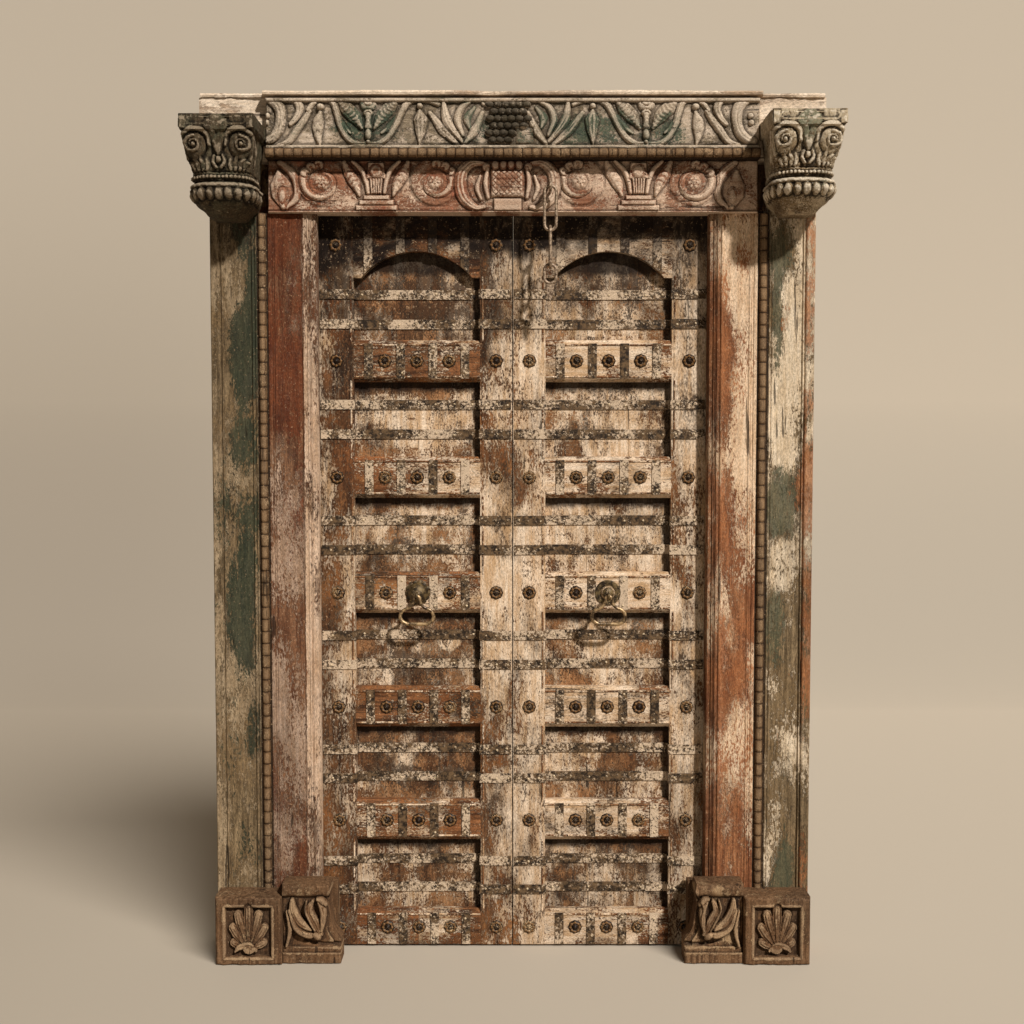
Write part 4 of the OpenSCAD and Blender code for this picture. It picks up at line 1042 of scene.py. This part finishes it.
def carveCapital(p, tall):
    # the front, unrolled: u from its middle, w from the foot
    for u in np.arange(-7, 8) * 23.0:  # lobes like eggs round the foot
        p.dome(u, 49, 11.8, 16, 9, 0.2, flat=0.6)
    p.stem([(-190, 71), (0, 71), (190, 71)], [7, 7, 7], 7, 0.3)
    for u in np.arange(-16, 17) * 9.6:
        p.dome(u, 90, 4.7, 5.0, 6, 0.2)
    p.slab(-160, 160, 96, 101, 3)
    p.stem([(0, 205), (0, 176), (0, 142)], [30, 17, 4], 8, 1.0, vein=2.2, round=0.3)
    for side in (-1, 1):
        p.dome(side * 58, 163, 29, 31, 6, 0.2, flat=0.3)
        p.volute(side * 59, 165, 19, 5.2, 11, 95 if side > 0 else 85, 1.3, -side, 0.1)
        p.dome(side * 59, 164, 6.5, 6.5, 15, 0.4)
        p.stem([(side * 20, 164), (side * 24, 188), (side * 42, 200), (side * 66, 200), (side * 84, 186)],
               [4, 6, 6, 6, 5], 9, 0.1, vein=1.4)
        p.stem([(side * 88, 182), (side * 88, 158), (side * 80, 132)], [6, 8, 5], 7, 0.0, vein=1.2)
        for k in range(4):  # broad ribs that run down together under the scroll
            p.stem([(side * (30 + 16 * k), 136 - 6 * abs(k - 1.0)), (side * (28 + 13 * k), 120),
                    (side * (30 + 10 * k), 106)],
                   [4, 7.5, 4], 4.5, 0.0)
        p.stem([(side * 10, 140), (side * 14, 124), (side * 6, 112)], [3, 5, 4], 9, 0.0)
        p.stem([(side * 18, 212), (side * 66, 212), (side * 66, 228), (side * 16, 228)],
               [2.4, 2.4], 3.2, 0.1)
        p.slab(side * 82 - 9, side * 82 + 9, 200, 232, 4, 0.1)
        p.stem([(side * 124, 190), (side * 130, 160), (side * 122, 124)], [5, 13, 5], 6, 0.0, vein=1.6,
               rim=1.2)
        p.cut([(side * 106, 200), (side * 110, 160), (side * 102, 108)], 3, 3)
    p.dome(0, 130, 8, 9, 11, 0.3)
    p.dome(0, 226, 13, 8, 5, 1.0)
    for amount, size, seed in ((2.8, 26, 71), (1.6, 9, 72), (0.9, 4, 73)):
        p.height += amount * wander(p.u, p.w, size, seed)


def makeCapital(side, material):
    # each level is a U of two straight sides, two quarter circles and a front
    # the unrolled carving is added along the U's normal
    low, high = corners(side + "_capital")
    tall = (high[2] - low[2]) * 1000
    middle = (low[0] + high[0]) / 2 * 1000
    back = high[1] * 1000
    level = np.array(capital["levels"]) * tall / capital["levels"][-1]
    w = np.interp(np.linspace(0, 1, capital["rows"]), np.linspace(0, 1, len(level)), level)
    w = 0.5 * w + 0.5 * np.linspace(0, tall, capital["rows"])
    a, b, r = (np.interp(w, level, capital[key])[:, None] for key in ("half", "out", "round"))
    straight, corner, front = b - r, r * np.pi / 2, 2 * (a - r)
    whole = 2 * straight + 2 * corner + front
    s = np.linspace(-0.5, 0.5, capital["columns"]) * whole
    # a quarter of the way round at a time, worked out for the right half and mirrored
    v = np.abs(s)
    turn = np.clip((v - front / 2) / r, 0, np.pi / 2)
    x = np.minimum(v, front / 2) + r * np.sin(turn)
    y = b - r * (1 - np.cos(turn)) - np.maximum(v - front / 2 - corner, 0)
    nx, ny = np.sin(turn) * np.sign(s), -np.cos(turn)
    x = x * np.sign(s)
    flat = Panel(-300, 300, -4, tall + 4, 1.8)
    carveCapital(flat, tall)
    i = np.clip((w[:, None] + 4) / 1.8, 0, flat.u.shape[0] - 1).astype(int) + 0 * s.astype(int)
    j = np.clip((s + 300) / 1.8, 0, flat.u.shape[1] - 1).astype(int)
    relief = flat.height[i, j] * np.clip((y - 6) / 12, 0, 1)
    # the carving may fill what the solid's box leaves and no more
    space = np.where(ny < -0.9, 190 - b - 0.3, 92.4 - a + 8 * (1 - np.abs(nx)))
    relief = np.minimum(relief, np.where(w[:, None] > 99, space, 12))
    px, py = middle + x + nx * relief, np.maximum(back - y + ny * relief, low[1] * 1000 + 0.2)
    pz = low[2] * 1000 + w[:, None] + 0 * s
    rows, columns = s.shape
    points = np.stack([px, py, pz], -1) / 1000
    faces = gridFaces(rows, columns)
    for start in range(0, (rows - 1) * columns, columns):
        faces.append([start, start + columns, start + 2 * columns - 1, start + columns - 1])
    faces += [np.arange(columns)[::-1].tolist(), ((rows - 1) * columns + np.arange(columns)).tolist()]
    marks = {key: value[i, j] for key, value in marksOf(flat.height, flat.paint).items()}
    addPiece(side + "_capital_carving", points, faces, material, "frame",
             [side + "_capital"], marks)


# feet: a shell in a sunk panel, and a curled leaf under a rolled ledge

shellBlock = {"cell": 1.6, "rim": 27, "sink": 13, "petals": (0, 6, 1, 5, 2, 4, 3), "spread": 25}
leafBlock = {"cell": 1.6, "sunk": 12, "ledge": 34, "roll": 19, "rollDown": 15, "rollOut": 14, "foot": 30,
             "step": 44, "worn": 20, "wornFrom": 60, "bite": 30, "biteFrom": 58, "biteRise": 62,
             "backRows": 12}


def makeShellBlock(side, way):
    # a panel sunk inside a rim, with petals along rays from its foot, the outer ones shorter
    name = side + "_shell_block"
    low, high = millimetres(name)
    wide, tall = high[0] - low[0], high[2] - low[2]
    p = Panel(0, wide, 0, tall, shellBlock["cell"])
    rim, sink = shellBlock["rim"], shellBlock["sink"]
    edge = np.minimum(np.minimum(p.u - rim, wide - rim - p.u), np.minimum(p.w - rim * 0.8, tall - rim - p.w))
    p.height -= sink * np.clip(edge / 4, 0, 1) ** 0.5
    p.height += 1.6 * np.exp(-((edge + 5) / 2.0) ** 2)
    root = (wide / 2, rim + 16)
    length = tall - 2 * rim - 18
    for k in shellBlock["petals"]:  # from the outside inwards, so that the middle one lies on top
        angle = math.radians(90 + (k - 3) * shellBlock["spread"])
        run = length * (1 - 0.045 * (k - 3) ** 2)
        tip = (root[0] + run * 0.60 * math.cos(angle),
               root[1] + run * math.sin(angle) * (1.0 if k == 3 else 0.97))
        mid = (root[0] + run * 0.36 * math.cos(angle), root[1] + run * 0.55 * math.sin(angle))
        base = p.height.copy()
        p.stem([root, mid, tip], [3, 9, 13, 11.5], 7, 0.1, vein=1.2, rim=3.2, round=0.35)
        p.height = np.where(p.height > base + 0.2, p.height - sink * 0.62, p.height)
    p.stem([(root[0] - way * 20, root[1] - 4), (root[0], root[1] + 10), (root[0] + way * 24, root[1] + 4),
            (root[0] + way * 34, root[1] - 6)], [4, 8, 7, 3], 2, 0.4, vein=1.5)
    p.dome(root[0] - way * 2, root[1] - 2, 15, 11, 1.5, 0.2)
    p.height += 1.5 * wander(p.u, p.w, 30, 80 + way) + 0.6 * wander(p.u, p.w, 7, 82 + way)
    addBoard(side + "_shell_carving", p, (low[0] / 1000, (low[1] + 2.2) / 1000, low[2] / 1000),
             high[1] / 1000, footWood, [name], roundEdge=9)


def makeLeafBlock(side, way):
    # a foot, a step, a sunk field with leaves and a half-round ledge, as heights over the block's front
    name = side + "_leaf_block"
    low, high = millimetres(name)
    wide, tall = high[0] - low[0], high[2] - low[2]
    p = Panel(0, wide, 0, tall, leafBlock["cell"])

    def at(*points):  # drawn for the left block, with the opening on its right
        return [(q[0] if way < 0 else wide - q[0], q[1]) for q in points]
    foot, step, out = leafBlock["foot"], leafBlock["step"], leafBlock["rollOut"]
    p.height -= leafBlock["sunk"]
    bulge = np.sqrt(np.clip(1 - ((p.w - tall + leafBlock["rollDown"]) / leafBlock["roll"]) ** 2, 0, 1))
    p.height = np.where(p.w > tall - leafBlock["ledge"], -out + out * bulge, p.height)
    p.height = np.where(p.w < foot, -2, p.height)
    p.height = np.where((p.w >= foot) & (p.w < step), -7, p.height)
    p.stem(at((30, tall - 40), (34, tall - 70), (52, tall - 100), (84, tall - 116)), [6, 13, 15, 6], 7, 0.1,
           vein=2, rim=1.8)
    p.stem(at((22, tall - 66), (40, tall - 112), (72, tall - 132), (92, tall - 130)), [4, 9, 9, 5], 9, 0.1,
           vein=1.6)
    p.stem(at((96, tall - 44), (84, tall - 70), (98, tall - 100), (112, tall - 128)), [6, 14, 16, 7], 4, 0.7,
           vein=2.2, rim=1.6)
    p.stem(at((76, tall - 42), (72, tall - 66), (84, tall - 92), (98, tall - 118)), [3, 4, 4, 3], 11, 0.0)
    p.stem(at((120, tall - 40), (132, tall - 64), (126, tall - 96), (118, tall - 120)),
           [8, 12, 9, 4], 8, 0.0, vein=2.0)
    p.stem(at((112, tall - 36), (128, tall - 40), (146, tall - 52)), [5, 8, 6], 10, 0.0)
    p.dome(*at((98, tall - 134))[0], 12, 11, 10, 0.2)
    p.cut(at((60, 60), (100, 52), (150, 50)), 4, 6)
    p.stem(at((12, 48), (22, 92), (14, 140)), [3, 6, 3], 3, 0.3)
    p.height += 1.4 * wander(p.u, p.w, 26, 90 + way) + 0.6 * wander(p.u, p.w, 7, 92 + way)
    across = p.u if way > 0 else wide - p.u
    worn = leafBlock["worn"] * (1 - np.clip((p.w - tall + leafBlock["wornFrom"]) / 40, 0, 1)) * (p.w > step)
    p.height = np.where(across < worn, p.height - 6, p.height)
    # its edge towards the opening is cut back above the foot, more the higher it is
    above = p.w - leafBlock["biteFrom"]
    bite = leafBlock["bite"] * np.clip(above / leafBlock["biteRise"], 0, 1) ** 0.8
    bite = bite + 3 * np.sin(p.w / 11) * (above > 0)
    p.u = p.u + way * bite * (1 - across / wide) ** 1.5
    addBoard(side + "_leaf_carving", p, (low[0] / 1000, (low[1] + 1.5) / 1000, low[2] / 1000), faceY,
             footWood, [name], roundEdge=6)
    inner = openingHalf - 1
    x0, x1 = sorted((way * (min(abs(low[0]), abs(high[0])) + 16), way * inner))
    corner = np.array([[x0, x1, x1, x0], [faceY * 1000 - 1] * 2 + [high[1]] * 2]).T
    rows = leafBlock["backRows"]
    levels = np.linspace(ledgeZ, high[2] - 14, rows)
    points = np.stack(np.broadcast_arrays(corner[:, 0], corner[:, 1], levels[:, None]), -1)
    addPiece(side + "_leaf_block_back", points / 1000, tubeFaces(rows, 4), footWood, "frame",
             marks=plainMarks(rows * 4), sharp=30)


# cap board: a thin board whose front edge is worn to a wandering line

capBoard = {"steps": 420, "wear": 5, "nicks": 3, "notch": 9, "notchAt": -60, "notchWide": 34, "endsBack": 30,
            "endsFrom": 640}


def makeCap():
    # a six-sided section carried along x; noise moves its front edge, and it steps back at both ends
    low, high = millimetres("cap_board")
    x = np.linspace(low[0], high[0], capBoard["steps"])
    wear = capBoard["wear"] * np.clip(wander(x, 0 * x, 60, 101), -1, 1)
    wear += capBoard["nicks"] * wander(x, 0 * x, 14, 102)
    notch = capBoard["notch"] * np.exp(-((x - capBoard["notchAt"]) / capBoard["notchWide"]) ** 2)
    front = low[1] + 5 + wear * 0.7 + notch + capBoard["endsBack"] * (np.abs(x) > capBoard["endsFrom"])
    bottom = low[2] + 1.5 * np.clip(wear, 0, 3) / 3
    top = high[2] - 0.8 - 0.8 * np.cos(x / 90)
    y = np.stack([front, front - 1.5, front + 2, 0 * x + high[1] - 1, 0 * x + high[1], 0 * x + high[1]], 1)
    z = np.stack([bottom, (bottom + top) / 2, top, top, (bottom + top) / 2, bottom], 1)
    points = np.stack([np.broadcast_to(x[:, None], y.shape), y, z], -1) / 1000
    count = len(x)
    faces = [face[::-1] for face in tubeFaces(count, 6)]
    addPiece("cap_board_worn", points, faces, capWood, "frame", ["cap_board"],
             plainMarks(count * 6), sharp=35)


# studs: one small shape repeated, set down at many places with its axis towards the visitor

rosette = {"petals": 8, "rings": 9, "around": 24, "radius": 19.0, "pitch": 0.2545}
nail = {"radius": 3.4, "height": 2.4, "around": 8, "outer": (14, 62), "inner": (14, 44, 72), "between": 7,
        "margin": 22, "front": -3, "recess": 21, "fromEdge": 0.022, "sway": (3, 2.5)}


def stamped(points, faces, places):
    # copies of one shape, as whole arrays
    count = len(points)
    spread = (places[:, None, :] + points[None]).reshape(-1, 3)
    shifts = np.arange(len(places)) * count
    return spread, [[v + shift for v in face] for shift in shifts.tolist() for face in faces]


def roseShape(radius):
    # rings of points round the axis: a thin rim, petals that swell and a dome in the middle
    r = np.linspace(1, 0.06, rosette["rings"])[:, None]
    turn = np.linspace(0, 2 * np.pi, rosette["around"], endpoint=False)
    petal = np.abs(np.cos(rosette["petals"] / 2 * turn)) ** 0.7
    rim = 1 - 0.16 * (1 - petal) * (r > 0.6)
    lift = 1.6 + 5.4 * petal * np.exp(-((r - 0.66) / 0.20) ** 2)
    lift = lift + 7.6 * np.sqrt(np.clip(1 - (r / 0.32) ** 2, 0, 1))
    lift = np.where(r > 0.99, 0.0, lift)
    high = np.clip(petal * np.exp(-((r - 0.66) / 0.24) ** 2), 0, 1)
    out = radius * r * rim
    points = np.stack([out * np.cos(turn), -lift + 0 * turn, out * np.sin(turn)], -1).reshape(-1, 3)
    return points, tubeFaces(rosette["rings"], rosette["around"]), high.reshape(-1)


def nailShape():
    # three rings of points that shrink as they rise
    turn = np.linspace(0, 2 * np.pi, nail["around"], endpoint=False)
    rings = [(1.0, 0.0), (0.86, 0.6), (0.4, 1.0)]
    points = np.array([[nail["radius"] * r * math.cos(t), -nail["height"] * h,
                        nail["radius"] * r * math.sin(t)] for r, h in rings for t in turn])
    return points, tubeFaces(len(rings), nail["around"])


def strapLevels(side):
    # the middles of the straps that cross a leaf, read off the corners of their solid
    z = np.array([v.co.z for v in node[side + "_cross_straps"].data.vertices])
    return np.unique(np.round(z, 4)).reshape(-1, 2).mean(1) * 1000


def makeStuds(side, way):
    # rosettes at the middle and both sides of each rail and on the stiles, and nails along the straps
    leafFace = corners(side + "_meeting_stile")[0][1] * 1000
    rails = railBoxes(side)
    boards = corners(side + "_rail_1")
    inner, outer = sorted(np.abs([boards[0][0], boards[1][0]]) * 1000)
    middle, wide = (inner + outer) / 2, outer - inner
    pitch = rosette["pitch"] * wide
    low, high = corners(side + "_rosettes")
    first, last = sorted(np.abs([low[0], high[0]]) * 1000)
    size = rosette["radius"]
    stiles = [first + size, last - size]
    places = []
    for k, (a, b) in enumerate(rails):
        z = (a[2] + b[2]) / 2 * 1000
        places += [(x, z) for x in stiles]
        places += [(middle + i * pitch, z) for i in (-1, 0, 1) if not (k == 2 and i == 0)]
    places += [(x, high[2] * 1000 - size) for x in stiles]
    rose = np.array([(way * x, leafFace, z) for x, z in places])
    shape, faces, high = roseShape(size)
    points, faces = stamped(shape, faces, rose)
    addPiece(side + "_flower_studs", points / 1000, faces, rosetteIron, side + "_leaf",
             [side + "_rosettes"], {"high": np.tile(high, len(rose))})
    # nails: along each strap on the stiles, and along the short upright straps
    dots = []
    front, fromEdge = nail["front"], nail["fromEdge"]
    for z in strapLevels(side):
        dots += [(outer + off, front, z) for off in nail["outer"]]
        dots += [(inner - off, front, z) for off in nail["inner"]]
        between = np.linspace(inner + nail["margin"], outer - nail["margin"], nail["between"])
        dots += [(x, nail["recess"], z) for x in between]
    for a, b in rails:
        for i in (-1.5, -0.5, 0.5, 1.5):
            dots += [(middle + i * pitch, front, z * 1000) for z in (a[2] + fromEdge, b[2] - fromEdge)]
    scatter = np.random.default_rng(7)
    aside, up = nail["sway"]
    spots = np.array([(way * x + scatter.uniform(-aside, aside), leafFace + y, z + scatter.uniform(-up, up))
                      for x, y, z in dots])
    points, faces = stamped(*nailShape(), spots)
    addPiece(side + "_strap_nails", points / 1000, faces, paleNail, side + "_leaf")


# thin raised mouldings round the recesses: a low round section carried along a closed rectangle

fillet = {"width": 5.0, "height": 2.6, "away": 7.0, "fromEdge": 13, "around": 7, "steps": 24}


def makeFillets(side, way):
    # half an ellipse carried along straight runs, swayed and flattened a little by noise
    rails = railBoxes(side)
    leafFace = corners(side + "_meeting_stile")[0][1] * 1000
    inner, outer = sorted(np.abs([rails[0][0][0], rails[0][1][0]]) * 1000)
    runs = []
    top = corners(side + "_top_rail")[0][2] * 1000
    levels = [top] + [v for a, b in rails for v in (b[2] * 1000, a[2] * 1000)]
    for k in range(0, len(levels) - 1, 2):
        high, low = levels[k], levels[k + 1]
        for x in (inner - fillet["away"], outer + fillet["away"]):
            runs.append(((x, low - 4), (x, high + 4)))
    for a, b in rails:
        for z in (a[2] * 1000 + fillet["fromEdge"], b[2] * 1000 - fillet["fromEdge"]):
            if z > 20:
                runs.append(((inner + 1, z), (outer - 1, z)))
    turn = np.linspace(0, np.pi, fillet["around"])
    section = np.stack([-fillet["width"] / 2 * np.cos(turn), -fillet["height"] * np.sin(turn) - 0.05], 1)
    allPoints, allFaces = [], []
    steps = fillet["steps"]
    for (x0, z0), (x1, z1) in runs:
        t = np.linspace(0, 1, steps)[:, None]
        sway = 0.6 * wander(t * 300 + x0, t * 40 + z0, 25, 110)
        if x0 == x1:
            px, pz = x0 + section[:, 0] + sway, z0 + t * (z1 - z0) + 0 * section[:, 0]
        else:
            px, pz = x0 + t * (x1 - x0) + 0 * section[:, 0], z0 + section[:, 0] + sway
        worn = np.clip(wander(t * 500, t * 0 + z0, 30, 120), 0, 1)
        py = leafFace + section[:, 1] * (1 - 0.4 * worn) + 0 * t
        base = sum(len(q) for q in allPoints)
        allPoints.append(np.stack([way * px, py, pz], -1).reshape(-1, 3))
        allFaces += [[v + base for v in face] for face in tubeFaces(steps, len(section))]
    piece = addPiece(side + "_fillets", np.vstack(allPoints) / 1000, allFaces, filletWood, side + "_leaf")
    outward(piece)


def makeLip():
    # a strip on the edge of one meeting stile, that keeps daylight out of the gap between the leaves
    low, high = corners("left_meeting_stile")
    x = np.array([high[0] - 0.001, 0.0011, 0.0011, high[0] - 0.001])
    y = np.array([low[1] + 0.022] * 2 + [high[1] - 0.004] * 2)
    z = np.array([low[2] + 0.002, high[2] - 0.002])
    points = np.stack(np.broadcast_arrays(x, y, z[:, None]), -1)
    outward(addPiece("left_meeting_lip", points, tubeFaces(2, 4), leafUpright, "left_leaf",
                     sharp=30))


# ring pulls: plate and boss are turned outlines, the ring is a round bar along a closed line

ringSpec = {"bar": 4.2, "foot": 5.4, "lobe": 22.0, "turn": 75.0, "neck": 8.0, "around": 16}


def turned(outline, around, petals=0, depth=0.0):
    # an outline of (radius, height) spun about the axis towards the visitor, its outer part cut into petals
    outline = np.array(outline, float)
    turn = np.linspace(0, 2 * np.pi, around, endpoint=False)
    r, h = outline[:, :1], outline[:, 1:]
    edge = np.clip((r - 0.6 * r.max()) / (0.4 * r.max()), 0, 1)
    r = r * (1 - depth * edge * (1 - np.abs(np.cos(petals / 2 * turn))))
    points = np.stack([r * np.cos(turn), -h + 0 * turn, r * np.sin(turn)], -1).reshape(-1, 3)
    return points, tubeFaces(len(outline), around)


def makeRing(side):
    # the line is arcs: a neck over the pin, two flared shoulders and two lobes
    # a circle is carried along it, thicker towards the foot
    low, high = millimetres(side + "_ring")
    middle, halfWide = (low[0] + high[0]) / 2, (high[0] - low[0]) / 2
    joint = [j for j in frame["joints"] if j["name"] == side + "_ring_swing"][0]
    pivot = np.array(joint["pos_m"]) * 1000
    bar, lobe, neck = ringSpec["bar"], ringSpec["lobe"], ringSpec["neck"]
    lobeX = halfWide - lobe - bar
    turn = math.radians(ringSpec["turn"])
    sweep = (lobeX + lobe * math.cos(turn) - neck) / (1 - math.cos(turn))
    shoulder = (lobe + sweep) * math.sin(turn)

    def arc(x, z, radius, start, end, count):
        a = np.linspace(start, end, count, endpoint=False)
        return np.stack([x + radius * np.cos(a), z + radius * np.sin(a)], 1)
    line = np.vstack([arc(0, shoulder, neck, 0, np.pi, 16),
                      arc(-neck - sweep, shoulder, sweep, 0, -turn, 12),
                      arc(-lobeX, 0, lobe, np.pi - turn, 1.5 * np.pi, 24),
                      arc(lobeX, 0, lobe, 1.5 * np.pi, 2 * np.pi + turn, 24),
                      arc(neck + sweep, shoulder, sweep, np.pi + turn, np.pi, 12)])
    # the lower half is half an ellipse
    sag = -lobe * np.sqrt(np.clip(1 - (line[:, 0] / (lobeX + lobe)) ** 2, 0, 1))
    line[:, 1] = np.where(line[:, 1] < 0, 0.75 * sag + 0.25 * line[:, 1], line[:, 1])
    line[:, 1] += high[2] - bar - line[:, 1].max()
    size = bar + (ringSpec["foot"] - bar) * np.clip((line[:, 1].mean() - line[:, 1]) / 40, 0, 1)
    step = np.roll(line, -1, 0) - np.roll(line, 1, 0)
    step /= np.hypot(*step.T)[:, None]
    normal = np.stack([step[:, 1], -step[:, 0]], 1)
    a = np.linspace(0, 2 * np.pi, ringSpec["around"], endpoint=False)
    x = middle + line[:, :1] + normal[:, :1] * size[:, None] * np.cos(a)
    z = line[:, 1:] + normal[:, 1:] * size[:, None] * np.cos(a)
    y = pivot[1] + size[:, None] * np.sin(a)
    points = np.stack([x, y, z], -1)
    n, m = points.shape[:2]
    faces = gridFaces(n, m, ring=True)
    faces += [[(n - 1) * m + k, (n - 1) * m + (k + 1) % m, (k + 1) % m, k] for k in range(m)]
    outward(addPiece(side + "_ring_bar", points / 1000, faces, ringBrass, side + "_ring",
                     [side + "_ring"]))


def makeBoss(side):
    # a flat plate and a dome on it, both turned from (radius, height) outlines in millimetres
    low, high = corners(side + "_ring_plate")
    centre = (low + high) / 2 * 1000
    centre[1] = high[1] * 1000
    if side == "left":
        plate = ([(34, 0), (34, 2.5), (31, 4.4), (27, 4.0), (24, 6.5), (20, 6.0), (4, 6.2)], 112, 14, 0.12)
        dome = [(21, 2), (21.5, 5), (20, 12), (17, 18), (12, 22), (6, 24.4), (2, 25)]
    else:
        plate = ([(34, 0), (34, 2.6), (32, 4.2), (29, 3.6), (27, 4.4), (24, 3.4), (4, 3.4)], 72, 0, 0.0)
        dome = [(19, 2), (19, 4), (17, 9), (13, 13), (8, 16), (4, 17.6), (1.5, 18)]
    for part, (points, faces) in (("plate", turned(*plate)), ("dome", turned(dome, 40))):
        piece = addPiece(f"{side}_ring_{part}_turned", (points + centre) / 1000, faces,
                         agedBrass if part == "plate" else domeBrass, side + "_leaf",
                         [side + "_ring_plate"] if part == "plate" else ())
        outward(piece)


makeUpperFrieze()
makeLowerFrieze()
report("friezes")
makeBeads()
makeJambs()
report("beads and jambs")
makeCapital("left", darkCapital)
makeCapital("right", paleCapital)
makeCap()
for side, way in (("left", -1), ("right", 1)):
    makeShellBlock(side, way)
    makeLeafBlock(side, way)
report("capitals and feet")
for side, way in (("left", -1), ("right", 1)):
    makeStuds(side, way)
    makeFillets(side, way)
    makeRing(side)
    makeBoss(side)
makeLip()
report("leaf furniture")


# room, light and camera

room = {"half": 9.0, "front": -9.0, "bend": 3.2, "radius": 1.6, "top": 8.0, "colour": tint(185, 173, 156),
        "shade": tint(70, 58, 44), "shadeAmount": 0.32}
key = {"aim": (-0.66, 1.0, -1.02), "power": 4.9, "angle": 3.4, "roomAngle": 34, "colour": (1.0, 0.975, 0.94)}
fill = {"aim": (0.5, 1.0, -0.1), "at": (-3.0, -4.5, 2.0), "power": 14, "size": 3.5,
        "colour": (1.0, 0.94, 0.86)}
air = {"colour": (1.0, 0.90, 0.77, 1), "strength": 0.10}


def makeRoom():
    # floor, quarter round and wall as one sheet: a profile in y and z carried along x
    turn = np.linspace(0, math.pi / 2, 24)
    y = np.concatenate([[room["front"]], room["bend"] + room["radius"] * np.sin(turn),
                        [room["bend"] + room["radius"]]])
    z = np.concatenate([[0], room["radius"] * (1 - np.cos(turn)), [room["top"]]])
    x = np.array([-room["half"], room["half"]])
    places = np.stack(np.broadcast_arrays(x, y[:, None], z[:, None]), -1)
    first = np.arange(len(y) - 1) * 2
    faces = np.stack([first, first + 1, first + 3, first + 2], 1)
    mesh = bpy.data.meshes.new("room")
    mesh.from_pydata(places.reshape(-1, 3).tolist(), [], faces.tolist())
    mesh.shade_smooth()
    sheet = bpy.data.objects.new("room", mesh)
    scene.collection.objects.link(sheet)
    # a surface that faces the lamp gets more light; the paint makes up for it, so that the sweep looks even
    level = np.concatenate([[0], turn, [math.pi / 2]])
    lit = -np.cos(level) * key["aim"][2] + np.sin(level) * key["aim"][1]
    kept = mesh.attributes.new("even", "FLOAT", "POINT")
    kept.data.foreach_set("value", np.repeat(0.98 / lit, 2).astype(np.float32))
    s = Shader("roomPaint")
    even = s.add("ShaderNodeCombineColor", *[s.attribute("even")] * 3).outputs[0]
    colour = s.blend(1.0, room["colour"], even, "MULTIPLY")
    # painted shade: the sheet darker towards the left, most on the floor and the foot of the wall
    dim = s.times(s.ramp(s.axes[0], 1.2, -2.6), s.ramp(s.axes[2], 3.6, 1.0, 0.3, 1.0))
    mesh.materials.append(s.finish(s.blend(s.times(dim, room["shadeAmount"]), colour, room["shade"]), 0.95))
    s.bsdf.inputs["Specular IOR Level"].default_value = 0.1


def addLamp(name, kind, power, towards, at=(0, 0, 0), **more):
    lamp = bpy.data.lights.new(name, kind)
    lamp.energy = power
    for what, value in more.items():
        setattr(lamp, what, value)
    holder = bpy.data.objects.new(name, lamp)
    holder.location = at
    aim = np.array(towards, float)
    holder.rotation_euler = Vector(aim).to_track_quat("-Z", "Y").to_euler()
    scene.collection.objects.link(holder)
    return holder


def onlyFor(lamp, things, name):
    # the lamp lights these things and no others
    group = bpy.data.collections.new(name)
    for thing in things:
        group.objects.link(thing)
    lamp.light_linking.receiver_collection = group


makeRoom()
sheet = bpy.data.objects["room"]
lamp = addLamp("key", "SUN", key["power"], key["aim"], angle=math.radians(key["angle"]), color=key["colour"])
onlyFor(lamp, [thing for thing in bpy.data.objects if thing.type == "MESH" and thing != sheet], "doorParts")
lamp = addLamp("roomKey", "SUN", key["power"], key["aim"], angle=math.radians(key["roomAngle"]),
               color=key["colour"])
onlyFor(lamp, [sheet], "roomParts")
addLamp("fill", "AREA", fill["power"], fill["aim"], fill["at"], shape="DISK", size=fill["size"],
        color=fill["colour"])
world = bpy.data.worlds.new("air")
world.use_nodes = True
world.node_tree.nodes["Background"].inputs[0].default_value = air["colour"]
world.node_tree.nodes["Background"].inputs[1].default_value = air["strength"]
scene.world = world
scene.view_settings.view_transform = "Standard"

view = {"lens": 47.03, "away": 3.5, "height": 1.376, "pitch": 3.2, "aside": -0.002}


def makeCamera():
    # in front of the door at eye height, looking slightly down
    camera = bpy.data.cameras.new("camera")
    camera.lens = view["lens"]
    camera.sensor_width = 36
    holder = bpy.data.objects.new("camera", camera)
    holder.location = (view["aside"], faceY - view["away"], view["height"])
    holder.rotation_euler = (math.radians(90 - view["pitch"]), 0, 0)
    scene.collection.objects.link(holder)
    scene.camera = holder


makeCamera()
report("room and camera")
